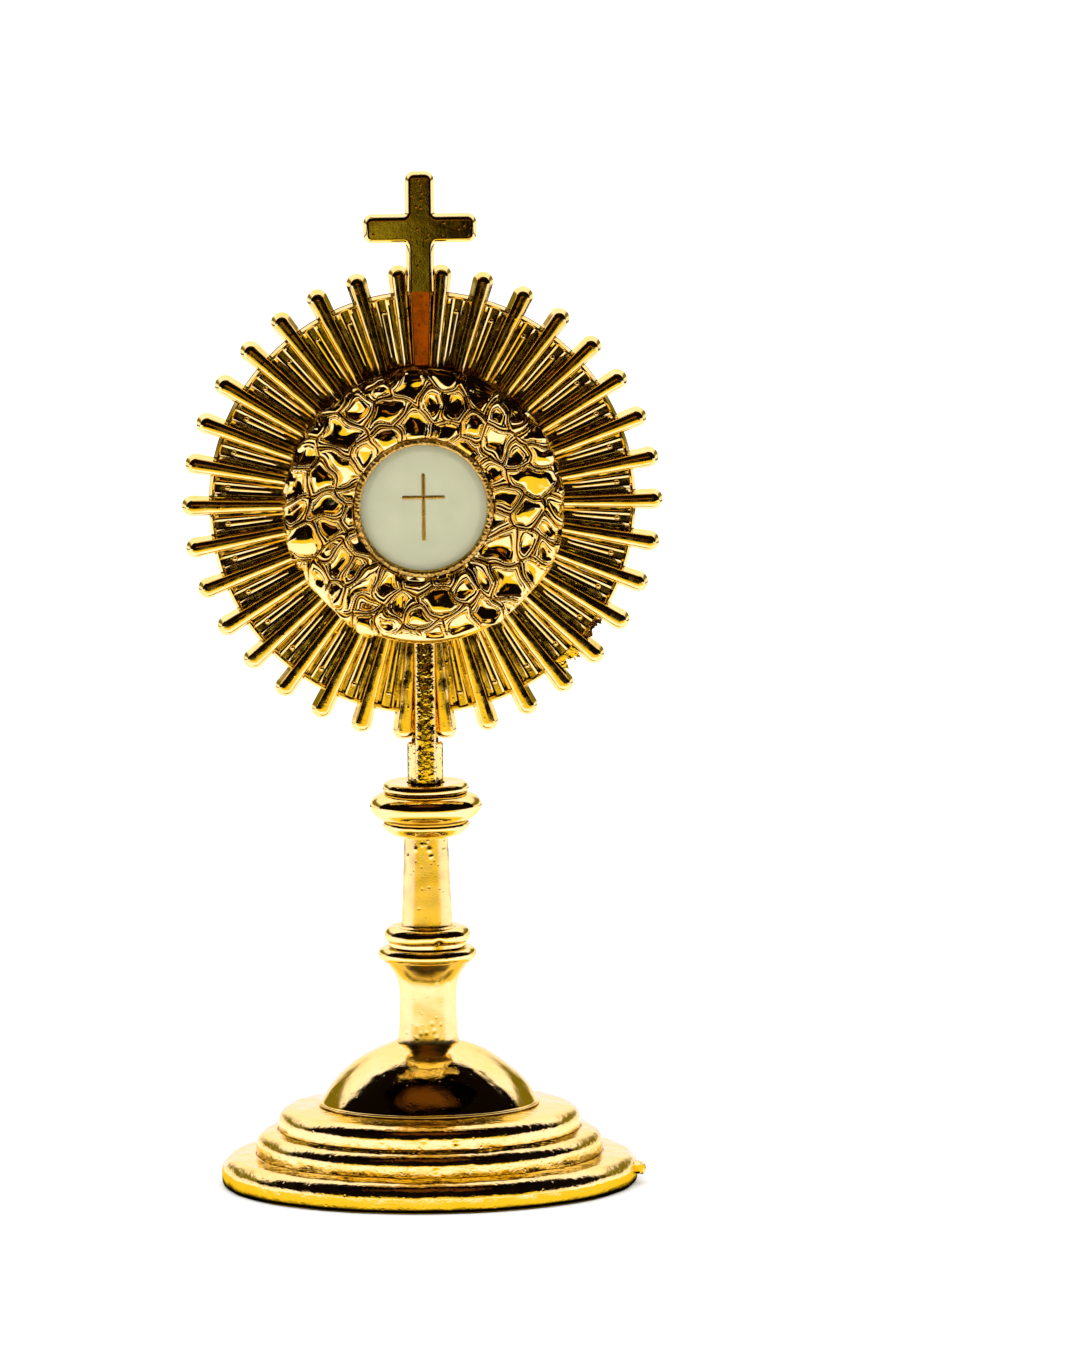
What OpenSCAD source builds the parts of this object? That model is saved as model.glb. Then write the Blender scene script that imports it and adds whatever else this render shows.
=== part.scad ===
// Sunburst monstrance: a gilt brass display stand for a consecrated host.
// The front faces -Y. The origin is on the floor, under the middle of the foot.
// In the head, "forward" distances are counted from the middle plane of the
// ray plate towards the viewer, so forward is -Y.

/* [Foot and dome] */
// Wall radius of the lowest step of the foot, at the floor
foot_r = 46.5; // [44:0.1:48]
// Wall radius of the middle step
mid_step_r = 38.7; // [38:0.1:39.5]
// Wall radius of the top step
top_step_r = 33.8; // [33:0.1:34.5]
// Height of the flat top of the foot, where the dome stands
foot_h = 18; // [17.8:0.1:18.4]
// Radius of the ledge round the dome
dome_ledge_r = 24.8; // [24.5:0.1:26]
// Radius of the sphere that the dome is part of
dome_sphere_r = 27.9; // [27.5:0.1:28.2]
// Wall thickness of the dome
dome_wall = 2; // [1.2:0.1:2.5]
// Height of the top of the dome, where the stem stands
dome_top_z = 32; // [31:0.1:32.2]

/* [Stem] */
// Radius of the lower column
lower_column_r = 6.4; // [5.5:0.1:7]
// Height of the joint between the lower column and the collar ring
collar_z = 53.7; // [53:0.1:54]
// Largest radius of the collar ring
collar_r = 9.6; // [9:0.1:10.5]
// Height of the foot of the upper column
upper_column_z = 58.3; // [58:0.1:58.6]
// Radius of the upper column at its foot
upper_column_foot_r = 5.75; // [5:0.05:6.5]
// Radius of the upper column at its head
upper_column_head_r = 4.85; // [4:0.05:5.5]
// Height of the underside of the knop's lower ring
knop_ring_z = 78.6; // [78:0.1:79]
// Largest radius of the knop
knop_r = 12.5; // [12:0.1:13.5]
// Radius of the tie rod that pulls the stem together
rod_r = 2; // [1.5:0.1:2.1]
// Radial clearance round the tie rod
rod_gap = 0.15; // [0.05:0.05:0.2]

/* [Head] */
// Height of the centre of the sunburst
head_z = 153.6; // [153:0.1:154]
// Radius of the fluted ray plate
plate_r = 47.7; // [46:0.1:48]
// Thickness of the ray plate
plate_t = 1.6; // [1.2:0.1:1.8]
// Number of long rays
ray_count = 34; // [30:2:34]
// Radius of the tips of the long rays
ray_tip_r = 53.7; // [52:0.1:56]
// Width of a long ray at its tip
ray_tip_w = 4.7; // [4:0.1:4.8]
// Width of a long ray at its inner end
ray_root_w = 2.9; // [2.5:0.1:3]
// Height of the top of the cross
cross_top_z = 228.6; // [227:0.1:230]
// Height of the middle of the cross arms
cross_arm_z = 215.8; // [214:0.1:217]
// Span of the cross arms
cross_span = 25.3; // [24:0.1:27]
// Width of the bars of the cross
cross_bar_w = 6.5; // [5.5:0.1:7]
// Outer radius of the cloud wreath
wreath_r = 31.6; // [31.2:0.1:32]

/* [Host chamber] */
// Radius of the window that shows the host
window_r = 14.2; // [13.8:0.1:14.3]
// Outer radius of the bezel round the window
bezel_r = 15.6; // [15.4:0.1:15.65]
// Inner radius of the chamber
chamber_r = 17.2; // [17.1:0.05:17.4]
// Radius of the chamber's rear flange
flange_r = 23; // [22.8:0.1:23.4]
// Outer radius of the luna, the ring that carries the host
luna_r = 15.1; // [15:0.05:15.15]
// Radius of the host
host_r = 14.5; // [14.3:0.05:14.5]
// Radius of the rear door
door_r = 18.6; // [18:0.1:18.6]
// Distance of the hinge axis from the middle of the chamber
hinge_x = 20.3; // [20.3:0.1:20.6]
// Radius of the hinge knuckles
knuckle_r = 1.3; // [1.2:0.05:1.3]
// Radius of the hinge pin
hinge_pin_r = 0.6; // [0.5:0.05:0.7]
// Radial running clearance of the hinge pin and the turn-button screw
pivot_gap = 0.05; // [0.03:0.01:0.08]

/* [Hidden] */
$fn = 96;
eps = 0.01;

gold = "goldenrod";
bore_r = rod_r + rod_gap;

// Foot: heights where each step's rounded shoulder starts, and the shoulder's two half axes.
low_shoulder = [39, 0.8, 7.5, 6.4];
mid_shoulder = [32.4, 7.6, 6.3, 5.2];
top_shoulder = [26.8, 13.2, 7, foot_h - 13.2];
foot_plate_t = 2.2;
foot_hole_r = 20;
dome_centre_z = 5.1;
dome_lip_h = 0.7;

// Clamp under the foot.
clamp_top_z = foot_h - foot_plate_t;
clamp_t = 1.6;
washer_t = 0.8;
nut_h = 3.2;
nut_flats = 7;
washer_z = clamp_top_z - clamp_t - washer_t;
nut_z = washer_z - nut_h;
rod_bottom_z = nut_z - 0.9;
rod_top_z = 97;

// Stem heights.
knop_z = 82.3;
knop_top_z = 88.2;
stem_top_z = 90.3;
socket_r = 4.35;
socket_z = 88.6;
tang_r = 4;

// Head depths, counted forward from the middle of the ray plate.
plate_f = plate_t / 2;
ray_f = plate_f + 1.6;
ray_bevel = 0.6;
ray_root_r = 30.4;
spine_back_f = ray_f + 0.05;
tang_f = 4.8;
spike_f = 4.6;
cross_back_f = spine_back_f;
cross_f = cross_back_f + 3.1;
cross_bevel = 0.8;
seam_z = 201.8;
rib_w = 4.7;
web_w = 2.3;
strap_w = 6;
strap_t = 1.8;
wreath_gap = 0.05;
tang_screw_r = [34.6, 41.6];
spike_rivet_r = 40;
rivet_ring_r = 26.2;
flange_screw_r = 21.2;

// Chamber depths, counted forward.
bezel_f = 9.6;
glass_front_f = 9.1;
glass_back_f = 8.5;
chamber_front_f = 7.9;
luna_front_f = 7.7;
host_front_f = 7.45;
host_back_f = 6.45;
flange_back_f = -2;
door_front_f = -2.1;
door_back_f = -3.6;
hinge_f = -3.4;
lip_r = window_r + 0.1;
glass_r = 15;
knuckle_h = 3;
knuckle_gap = 0.1;
button_x = 21.4;
button_front_f = -3.8;
button_back_f = -4.8;
button_half_l = 4.2;
button_screw_r = 0.7;

// ---- helpers -----------------------------------------------------------

// Points of a rounded shoulder [r, z, half width, half height] up to the radius to_r.
function shoulder(s, to_r, steps = 9) =
    let (last = acos((to_r - s[0]) / s[2]))
    [for (i = [0:steps]) [s[0] + s[2] * cos(last * i / steps), s[1] + s[3] * sin(last * i / steps)]];

// A turned piece of the head: the profile's second coordinate is the forward distance.
module head_turned() {
    translate([0, 0, head_z]) rotate([90, 0, 0]) rotate_extrude() children();
}

// A flat piece of the head between two forward distances.
module head_slab(back_f, front_f) {
    translate([0, -back_f, head_z]) rotate([90, 0, 0]) linear_extrude(front_f - back_f) children();
}

// A rod along the head's axis, at a place [x, z] from the sunburst's centre.
module head_rod(place, r, back_f, front_f) {
    head_slab(back_f, front_f) translate(place) circle(r);
}

// A rectangle of a turned profile, from radius r0 to r1 and from height h0 to h1.
module band(r0, r1, h0, h1) {
    translate([r0, h0]) square([r1 - r0, h1 - h0]);
}

// A rectangle centred on x with rounded corners.
module round_bar(w, z0, z1, r) {
    translate([-w / 2 + r, z0]) square([w - 2 * r, z1 - z0]);
    translate([-w / 2, z0 + r]) square([w, z1 - z0 - 2 * r]);
    for (x = [-w / 2 + r, w / 2 - r], z = [z0 + r, z1 - r]) translate([x, z]) circle(r);
}

// ---- foot and clamp ----------------------------------------------------

module base_foot() {
    color(gold) rotate_extrude($fn = 160)
        polygon(concat(
            [[foot_r - 2.6, 0], [foot_r - 0.5, 0], [foot_r, 0.5]],
            shoulder(low_shoulder, mid_step_r),
            shoulder(mid_shoulder, top_step_r),
            shoulder(top_shoulder, top_shoulder[0]),
            [[foot_hole_r, foot_h], [foot_hole_r, clamp_top_z]],
            [[28, clamp_top_z], [31.4, 14], [31.4, 10.6], [36.3, 9], [36.3, 5], [foot_r - 2.6, 2.5]]));
}

module base_dome() {
    color(gold) difference() {
        union() {
            difference() {
                union() {
                    intersection() {
                        translate([0, 0, dome_centre_z]) sphere(dome_sphere_r, $fn = 160);
                        translate([0, 0, foot_h]) cylinder(r = dome_ledge_r - 0.4, h = dome_top_z - foot_h);
                    }
                    translate([0, 0, foot_h]) cylinder(r = dome_ledge_r, h = dome_lip_h);
                }
                translate([0, 0, dome_centre_z]) sphere(dome_sphere_r - dome_wall, $fn = 160);
            }
            translate([0, 0, dome_top_z - 6]) cylinder(r = 5.5, h = 5.5);
        }
        translate([0, 0, dome_top_z - 7]) cylinder(r = bore_r, h = 8);
    }
}

module clamp_plate() {
    color("peru") translate([0, 0, clamp_top_z - clamp_t]) difference() {
        cylinder(r = 26, h = clamp_t);
        translate([0, 0, -1]) cylinder(r = bore_r, h = clamp_t + 2);
    }
}

module spring_washer() {
    color("silver") translate([0, 0, washer_z]) difference() {
        cylinder(r = 3.8, h = washer_t);
        translate([0, 0, -1]) cylinder(r = bore_r, h = washer_t + 2);
        translate([0, -0.4, -1]) cube([5, 0.8, washer_t + 2]);
    }
}

module base_nut() {
    color("silver") translate([0, 0, nut_z]) difference() {
        cylinder(d = nut_flats / cos(30), h = nut_h, $fn = 6);
        translate([0, 0, -1]) cylinder(r = rod_r + 0.03, h = nut_h + 2);
    }
}

module tie_rod() {
    color("silver") translate([0, 0, rod_bottom_z]) cylinder(r = rod_r, h = rod_top_z - rod_bottom_z);
}

// ---- stem --------------------------------------------------------------

module lower_column() {
    color(gold) rotate_extrude() {
        polygon([[bore_r, dome_top_z], [7.2, dome_top_z], [6.9, dome_top_z + 1],
                 [lower_column_r, 38.5], [lower_column_r, 44.4], [lower_column_r + 0.4, 45.8],
                 [8.4, 48.3], [10.3, 50.7], [10.3, 53.2], [8.6, collar_z], [bore_r, collar_z]]);
        translate([9.5, 52]) circle(1.5);
    }
}

module collar_ring() {
    bead_r = 1.95;
    color(gold) rotate_extrude() {
        band(bore_r, 8.7, collar_z, 56);
        band(bore_r, collar_r - bead_r, 56, upper_column_z);
        translate([collar_r - bead_r, 56.2]) circle(bead_r);
    }
}

module upper_column() {
    color(gold) difference() {
        translate([0, 0, upper_column_z])
            cylinder(r1 = upper_column_foot_r, r2 = upper_column_head_r, h = knop_ring_z - upper_column_z);
        translate([0, 0, upper_column_z - 1]) cylinder(r = bore_r, h = knop_ring_z - upper_column_z + 2);
    }
}

module knop_lower_ring() {
    color(gold) rotate_extrude() {
        polygon([[bore_r, knop_ring_z], [7.4, knop_ring_z], [9.1, 80], [8.6, knop_z], [bore_r, knop_z]]);
        translate([8.57, 81.2]) circle(1.1);
    }
}

module knop() {
    tip_r = 1.75;
    color(gold) rotate_extrude() {
        polygon([[bore_r, knop_z], [9.2, knop_z], [knop_r - 0.9, 84.2], [knop_r - 0.9, 87.2],
                 [9.6, knop_top_z], [bore_r, knop_top_z]]);
        translate([knop_r - tip_r, 85.7]) circle(tip_r);
    }
}

module knop_upper_ring() {
    color(gold) rotate_extrude() {
        polygon([[bore_r, knop_top_z], [8.9, knop_top_z], [8.9, stem_top_z], [socket_r, stem_top_z],
                 [socket_r, socket_z], [bore_r, socket_z]]);
        translate([8.7, 89.2]) circle(0.95);
    }
}

// ---- head: tang, plate, rays, cross ------------------------------------

// An upright bar of width w from z0 to z1, between two forward distances.
module spine(w, z0, z1, back_f, front_f) {
    translate([-w / 2, -front_f, z0]) cube([w, front_f - back_f, z1 - z0]);
}

// Round shank in the stem, a rib in front of the rays, a web between the two lowest rays
// and a strap behind the plate.
module head_tang() {
    shank_top = head_z - ray_tip_r - 0.1;
    rib_top = head_z - wreath_r - 0.1;
    color(gold) difference() {
        union() {
            translate([0, 0, socket_z + 0.05]) cylinder(r = tang_r, h = shank_top - socket_z - 0.05);
            spine(rib_w, stem_top_z + 1, rib_top, spine_back_f, tang_f);
            spine(web_w, shank_top - 2, rib_top, plate_f, spine_back_f + eps);
            spine(web_w, shank_top - 2, head_z - plate_r - 0.1, -plate_f - eps, plate_f + eps);
            spine(strap_w, shank_top - 2, head_z - 29, -plate_f - strap_t, -plate_f);
        }
        translate([0, 0, socket_z - 1]) cylinder(r = rod_r + 0.03, h = rod_top_z + 1.5 - socket_z);
        for (r = tang_screw_r) head_rod([0, -r], 0.95, -strap_t - 2, 4);
    }
}

module tang_screws() {
    head_f = -plate_f - strap_t;
    color("silver") for (r = tang_screw_r) {
        head_rod([0, -r], 0.9, head_f, 3.8);
        head_rod([0, -r], 1.8, head_f - 1.1, head_f);
    }
}

module glory_plate() {
    chamber_hole_r = chamber_r + 1.05;
    rivet_hole_r = 0.95;
    color(gold) difference() {
        head_turned() {
            band(chamber_hole_r, plate_r - 0.4, -plate_f, plate_f);
            band(plate_r - 1.2, plate_r, -plate_f + 0.4, plate_f - 0.4);
        }
        for (a = [45:90:315]) head_rod(rivet_ring_r * [cos(a), sin(a)], rivet_hole_r, -2, 2);
        for (r = tang_screw_r) head_rod([0, -r], rivet_hole_r, -2, 2);
        head_rod([0, spike_rivet_r], rivet_hole_r, -2, 2);
    }
}

// Outline of one long ray that points up, inset by g all round.
module ray_outline(g = 0) {
    half_tip = ray_tip_w / 2 - g;
    half_root = ray_root_w / 2 - g;
    cap_r = half_tip;
    tip_y = ray_tip_r - g - cap_r;
    polygon([[-half_root, ray_root_r], [half_root, ray_root_r], [half_tip, tip_y], [-half_tip, tip_y]]);
    translate([0, tip_y]) circle(cap_r);
}

// One ray lies on the front of the plate and hooks over its edge.
module long_ray() {
    head_slab(plate_f, ray_f - ray_bevel) ray_outline();
    head_slab(ray_f - ray_bevel - eps, ray_f) ray_outline(ray_bevel);
    head_slab(-plate_f, plate_f + eps) intersection() {
        ray_outline();
        translate([-ray_tip_w, plate_r + 0.1]) square([2 * ray_tip_w, ray_tip_r - plate_r]);
    }
}

module long_rays() {
    color(gold) for (i = [0:ray_count - 1])
        translate([0, 0, head_z]) rotate([0, (i + 0.5) * 360 / ray_count, 0]) translate([0, 0, -head_z])
            long_ray();
}

// The smooth tapered bar from the wreath up to the cross.
module top_spike() {
    foot = wreath_r + 0.1;
    top = seam_z - head_z;
    color("sienna") difference() {
        union() {
            head_slab(spine_back_f, spike_f)
                polygon([[-1.8, foot], [1.8, foot], [rib_w / 2, top], [-rib_w / 2, top]]);
            head_slab(plate_f, spine_back_f + eps) translate([-web_w / 2, foot]) square([web_w, top - foot]);
        }
        head_rod([0, spike_rivet_r], 0.95, -2, spike_f - 0.8);
        translate([0, -3.5, seam_z - 4]) cylinder(r = 0.8, h = 5);
    }
}

module spike_rivet() {
    color(gold) {
        head_rod([0, spike_rivet_r], 0.9, -plate_f, spike_f - 0.9);
        head_rod([0, spike_rivet_r], 1.8, -plate_f - 0.9, -plate_f);
    }
}

module finial_pin() {
    color("silver") translate([0, -3.5, seam_z - 3.9]) cylinder(r = 0.75, h = 8.8);
}

// Outline of the cross, inset by g all round.
module cross_outline(g = 0) {
    end_r = 2.2 - g / 2;
    w = cross_bar_w - 2 * g;
    translate([0, -head_z]) {
        round_bar(w, seam_z + g, cross_top_z - g, end_r);
        translate([-w / 2, seam_z + g]) square([w, 4]);
        translate([0, cross_arm_z]) rotate(90) round_bar(w, -cross_span / 2 + g, cross_span / 2 - g, end_r);
    }
}

module cross_finial() {
    color(gold) difference() {
        union() {
            head_slab(cross_back_f, cross_f) cross_outline(cross_bevel);
            head_slab(cross_back_f + cross_bevel, cross_f - cross_bevel) cross_outline();
        }
        translate([0, -3.5, seam_z - 1]) cylinder(r = 0.8, h = 6);
    }
}

// ---- cloud wreath ------------------------------------------------------

// Pressed shell, hollow behind, with four bosses for its rivets.
module wreath() {
    rim_f = ray_f + wreath_gap;
    color(gold) difference() {
        union() {
            head_turned() difference() {
                polygon([[bezel_r + 0.1, glass_back_f + 0.05], [bezel_r + 0.1, 9.3], [17.2, 10], [20.5, 10.3],
                         [24, 9.6], [27, 7.9], [29.6, 5.6], [wreath_r, 3.2], [wreath_r, rim_f],
                         [bezel_r + 0.1, rim_f]]);
                polygon([[bezel_r, 0], [bezel_r, glass_back_f + 0.05], [23, glass_back_f], [26, 6.8],
                         [28.4, 4.6], [29.8, rim_f - 1]]);
            }
            for (a = [45:90:315]) head_rod(rivet_ring_r * [cos(a), sin(a)], 1.9, plate_f + 0.05, 7);
        }
        for (a = [45:90:315]) head_rod(rivet_ring_r * [cos(a), sin(a)], 0.95, -2, 5);
    }
}

module wreath_rivets() {
    color(gold) for (a = [45:90:315]) {
        head_rod(rivet_ring_r * [cos(a), sin(a)], 0.9, -plate_f, 4.9);
        head_rod(rivet_ring_r * [cos(a), sin(a)], 1.8, -plate_f - 0.9, -plate_f);
    }
}

// ---- host chamber ------------------------------------------------------

// Tube with a front lip for the glass, a rear flange and two hinge knuckles.
module capsule() {
    tube_r = chamber_r + 1;
    color(gold) difference() {
        union() {
            head_turned() {
                band(chamber_r, tube_r, flange_back_f, glass_back_f);
                band(lip_r, tube_r, chamber_front_f, glass_back_f);
                band(chamber_r, flange_r, flange_back_f, -plate_f);
            }
            for (s = [-1, 1]) translate([-hinge_x, 0, head_z + s * (knuckle_h + knuckle_gap)]) {
                translate([0, -hinge_f, -knuckle_h / 2]) cylinder(r = knuckle_r, h = knuckle_h);
                translate([-knuckle_r, -flange_back_f - eps, -knuckle_h / 2])
                    cube([2 * knuckle_r, -hinge_f + flange_back_f + eps, knuckle_h]);
            }
        }
        translate([-hinge_x, -hinge_f, head_z - 8]) cylinder(r = hinge_pin_r + 0.01, h = 16);
        for (a = [45:90:315]) head_rod(flange_screw_r * [cos(a), sin(a)], 0.75, -3, 0);
        head_rod([button_x, 0], button_screw_r + 0.02, -3, 0);
    }
}

module capsule_screws() {
    color("silver") for (a = [45:90:315]) {
        head_rod(flange_screw_r * [cos(a), sin(a)], 0.7, flange_back_f, -plate_f);
        head_rod(flange_screw_r * [cos(a), sin(a)], 1.3, flange_back_f - 0.8, flange_back_f);
    }
}

module bezel() {
    color("darkgoldenrod") head_turned() {
        band(window_r, bezel_r, glass_front_f, bezel_f);
        band(glass_r + 0.05, bezel_r, glass_back_f, glass_front_f);
    }
}

module front_glass() {
    color("white", 0.3) head_slab(glass_back_f, glass_front_f) circle(glass_r);
}

// ---- rear door with the luna -------------------------------------------

module hinge_pin() {
    half_l = 1.5 * knuckle_h + knuckle_gap;
    head_r = 0.85;
    color("silver") translate([-hinge_x, -hinge_f, head_z]) {
        translate([0, 0, -half_l - head_r]) cylinder(r = hinge_pin_r, h = 2 * (half_l + head_r));
        for (s = [-1, 1]) translate([0, 0, s * (half_l + head_r + 0.05)]) sphere(head_r);
    }
}

module rear_door() {
    pane_r = 13;
    color(gold) difference() {
        union() {
            head_turned() {
                band(pane_r, door_r, door_back_f, door_front_f - 0.8);
                band(pane_r + 1, door_r, door_front_f - 0.8, door_front_f);
            }
            translate([-hinge_x, -hinge_f, head_z - knuckle_h / 2]) cylinder(r = knuckle_r, h = knuckle_h);
            translate([-hinge_x, -door_front_f, head_z - knuckle_h / 2])
                cube([3.2, door_front_f - door_back_f, knuckle_h]);
        }
        translate([-hinge_x, -hinge_f, head_z - 8]) cylinder(r = hinge_pin_r + pivot_gap, h = 16);
    }
}

module door_glass() {
    color("white", 0.3) head_slab(door_front_f - 0.75, door_front_f - 0.05) circle(13.9);
}

// Carrier of the host: a thin tube on the inside of the door.
module luna_ring() {
    color(gold) head_turned() {
        band(13.2, 16, door_front_f, door_front_f + 0.8);
        band(host_r + 0.05, luna_r, door_front_f, luna_front_f);
        band(window_r, luna_r, host_front_f, luna_front_f);
    }
}

module host_disc() {
    color("ivory") head_slab(host_back_f, host_front_f) circle(host_r);
}

// Plain raised cross on the face of the host.
module host_emblem() {
    line_w = 0.8;
    color(gold) head_slab(host_front_f, host_front_f + 0.2) {
        translate([-line_w / 2, -7.6]) square([line_w, 15.2]);
        translate([-4.8, 2.2]) square([9.6, line_w]);
    }
}

// Split ring that holds the host in the luna.
module luna_clip() {
    color("silver") difference() {
        head_turned() band(13.7, host_r, host_back_f - 0.8, host_back_f);
        head_slab(host_back_f - 2, host_back_f + 1) translate([-1, -16]) square([2, 5]);
    }
}

module door_knob() {
    color(gold) translate([15.4, 0, 0]) head_turned() {
        band(0, 0.6, door_back_f - 1.2, door_back_f);
        band(0, 1.1, door_back_f - 2.4, door_back_f - 1.1);
    }
}

// ---- turn-button -------------------------------------------------------

module turn_button() {
    wing_r = 1.1;
    color(gold) difference() {
        union() {
            head_rod([button_x, 0], 1.6, button_back_f, flange_back_f - 0.05);
            head_slab(button_back_f, button_front_f) translate([button_x, 0]) {
                square([2 * wing_r, 2 * (button_half_l - wing_r)], center = true);
                for (s = [-1, 1]) translate([0, s * (button_half_l - wing_r)]) circle(wing_r);
            }
        }
        head_rod([button_x, 0], button_screw_r + pivot_gap, -6, 0);
    }
}

module button_screw() {
    color("silver") {
        head_rod([button_x, 0], button_screw_r, button_back_f - 0.1, -plate_f);
        head_rod([button_x, 0], 1.2, button_back_f - 0.8, button_back_f - 0.06);
    }
}

base_foot();
base_dome();
clamp_plate();
spring_washer();
base_nut();
tie_rod();
lower_column();
collar_ring();
upper_column();
knop_lower_ring();
knop();
knop_upper_ring();
head_tang();
tang_screws();
glory_plate();
long_rays();
top_spike();
spike_rivet();
finial_pin();
cross_finial();
wreath();
wreath_rivets();
capsule();
capsule_screws();
bezel();
front_glass();
hinge_pin();
rear_door();
door_glass();
luna_ring();
host_disc();
host_emblem();
luna_clip();
door_knob();
turn_button();
button_screw();
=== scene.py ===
import math

import bmesh
import bpy
import numpy as np
from mathutils import Matrix, Vector

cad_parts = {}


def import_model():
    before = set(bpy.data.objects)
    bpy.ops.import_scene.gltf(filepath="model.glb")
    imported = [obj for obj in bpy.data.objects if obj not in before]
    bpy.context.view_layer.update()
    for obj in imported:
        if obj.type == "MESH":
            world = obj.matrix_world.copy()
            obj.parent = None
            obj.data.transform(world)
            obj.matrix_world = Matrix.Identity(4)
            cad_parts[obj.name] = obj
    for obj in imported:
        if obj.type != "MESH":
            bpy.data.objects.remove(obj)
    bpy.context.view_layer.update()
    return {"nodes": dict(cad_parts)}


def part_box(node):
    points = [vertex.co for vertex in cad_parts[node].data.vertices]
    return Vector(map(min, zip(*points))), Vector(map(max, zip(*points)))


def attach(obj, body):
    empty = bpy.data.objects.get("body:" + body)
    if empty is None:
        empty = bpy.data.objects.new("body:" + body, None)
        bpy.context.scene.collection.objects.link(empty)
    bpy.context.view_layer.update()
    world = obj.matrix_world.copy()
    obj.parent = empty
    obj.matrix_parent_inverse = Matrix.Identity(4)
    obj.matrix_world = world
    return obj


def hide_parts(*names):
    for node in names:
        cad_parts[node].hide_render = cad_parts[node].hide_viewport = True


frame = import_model()

# Shapes are drawn in millimetres, as a drawing is, and scaled to metres when a mesh is made.
# In the head, a turned profile is (radius, forward): forward is counted from the middle of
# the ray plate towards the viewer, who looks along +Y.
MM = 0.001


def node_box(node):
    """Lowest and highest corner of a CAD node, in millimetres."""
    low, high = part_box(node)
    return [c / MM for c in low], [c / MM for c in high]


def half_width(node):
    """How far a CAD node reaches towards +X."""
    return node_box(node)[1][0]


def heights(node):
    """Lowest and highest level of a CAD node."""
    low, high = node_box(node)
    return low[2], high[2]


HEAD_Z = sum(heights("glory_plate")) / 2
PLATE_R = half_width("glory_plate")
PLATE_BACK_F = -0.8
RAY_TIP_R = half_width("long_rays")
RAY_ROOT_R = 30.4
RAY_TIP_HALF = 2.35
RAY_COUNT = 34
RAY_PITCH = 2 * math.pi / RAY_COUNT
FOOT_R = half_width("base_foot")
FOOT_TOP = heights("base_foot")[1]
DOME_TOP = heights("lower_column")[0]
COLLAR_Z = heights("collar_ring")[0]
COLUMN_FOOT_Z, COLUMN_HEAD_Z = heights("upper_column")
KNOP_Z, KNOP_TOP_Z = heights("knop")
KNOP_R = half_width("knop")
SEAM_Z, CROSS_TOP_Z = heights("cross_finial")
CROSS_HALF = half_width("cross_finial")
WREATH_R = half_width("wreath")
WINDOW_R = 15.72
BORE_R = 2.15
WELD_M = 1e-7


# ---- curves ------------------------------------------------------------

def arc(centre, radius, start, stop, steps):
    """Points on an arc; radius may be a pair of half axes. Angles in degrees."""
    a, b = radius if isinstance(radius, tuple) else (radius, radius)
    angles = np.radians(np.linspace(start, stop, steps + 1))
    return [(centre[0] + a * math.cos(t), centre[1] + b * math.sin(t)) for t in angles]


def smooth(points, per_span):
    """Catmull-Rom curve through the points."""
    p = np.array([points[0]] + list(points) + [points[-1]], float)
    out = []
    for i in range(1, len(p) - 2):
        for t in np.arange(per_span) / per_span:
            a = 2 * p[i] + (p[i + 1] - p[i - 1]) * t
            b = (2 * p[i - 1] - 5 * p[i] + 4 * p[i + 1] - p[i + 2]) * t ** 2
            c = (3 * p[i] - p[i - 1] - 3 * p[i + 1] + p[i + 2]) * t ** 3
            out.append(tuple((a + b + c) / 2))
    return out + [tuple(p[-2])]


def ease(value, low, high):
    """0 below low, 1 above high, smooth between."""
    t = np.clip((value - low) / (high - low), 0, 1)
    return t * t * (3 - 2 * t)


def refine(points, step):
    """The same open outline with no segment longer than step."""
    out = [points[0]]
    for a, b in zip(points, points[1:]):
        count = max(1, math.ceil(math.dist(a, b) / step))
        out += [tuple(np.array(a) + (np.array(b) - np.array(a)) * k / count) for k in range(1, count + 1)]
    return out


def field(points, size, seed):
    """Seeded smooth noise, about -1 to 1, whose bumps measure roughly size."""
    waves = 14
    rng = np.random.default_rng(seed)
    directions = rng.normal(size=(waves, points.shape[1]))
    directions /= np.linalg.norm(directions, axis=1, keepdims=True)
    pitch = rng.uniform(0.7, 1.5, waves) * math.pi / size
    phase = rng.uniform(0, 2 * math.pi, waves)
    total = np.zeros(len(points))
    for direction, k, shift in zip(directions, pitch, phase):
        total += np.sin(points @ direction * k + shift)
    return total / math.sqrt(waves / 2)


# ---- meshes ------------------------------------------------------------

class Shape:
    """Vertices in millimetres and faces, gathered from several parts."""

    def __init__(self):
        self.verts = []
        self.faces = []
        self.count = 0

    def add(self, verts, faces):
        self.verts.append(np.asarray(verts, float))
        self.faces += [[i + self.count for i in f] for f in faces]
        self.count += len(verts)
        return self

    def points(self):
        return np.concatenate(self.verts)


def grid_faces(rows, cols, wrap_rows=False, wrap_cols=True):
    """Quads of a grid whose vertex (i, j) has the index i * cols + j."""
    i = np.arange(rows if wrap_rows else rows - 1)
    j = np.arange(cols if wrap_cols else cols - 1)
    i, j = np.meshgrid(i, j, indexing="ij")
    i2, j2 = (i + 1) % rows, (j + 1) % cols
    quads = np.stack([i * cols + j, i * cols + j2, i2 * cols + j2, i2 * cols + j], -1)
    return quads.reshape(-1, 4).tolist()


def turned(profile, steps, ring=True):
    """A profile [(radius, height)] turned about Z. A ring's profile closes on itself."""
    p = np.array(profile, float)
    angle = np.arange(steps) * 2 * math.pi / steps
    verts = np.stack([np.outer(p[:, 0], np.cos(angle)), np.outer(p[:, 0], np.sin(angle)),
                      np.repeat(p[:, 1:2], steps, 1)], -1).reshape(-1, 3)
    return verts, grid_faces(len(p), steps, wrap_rows=ring)


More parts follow.
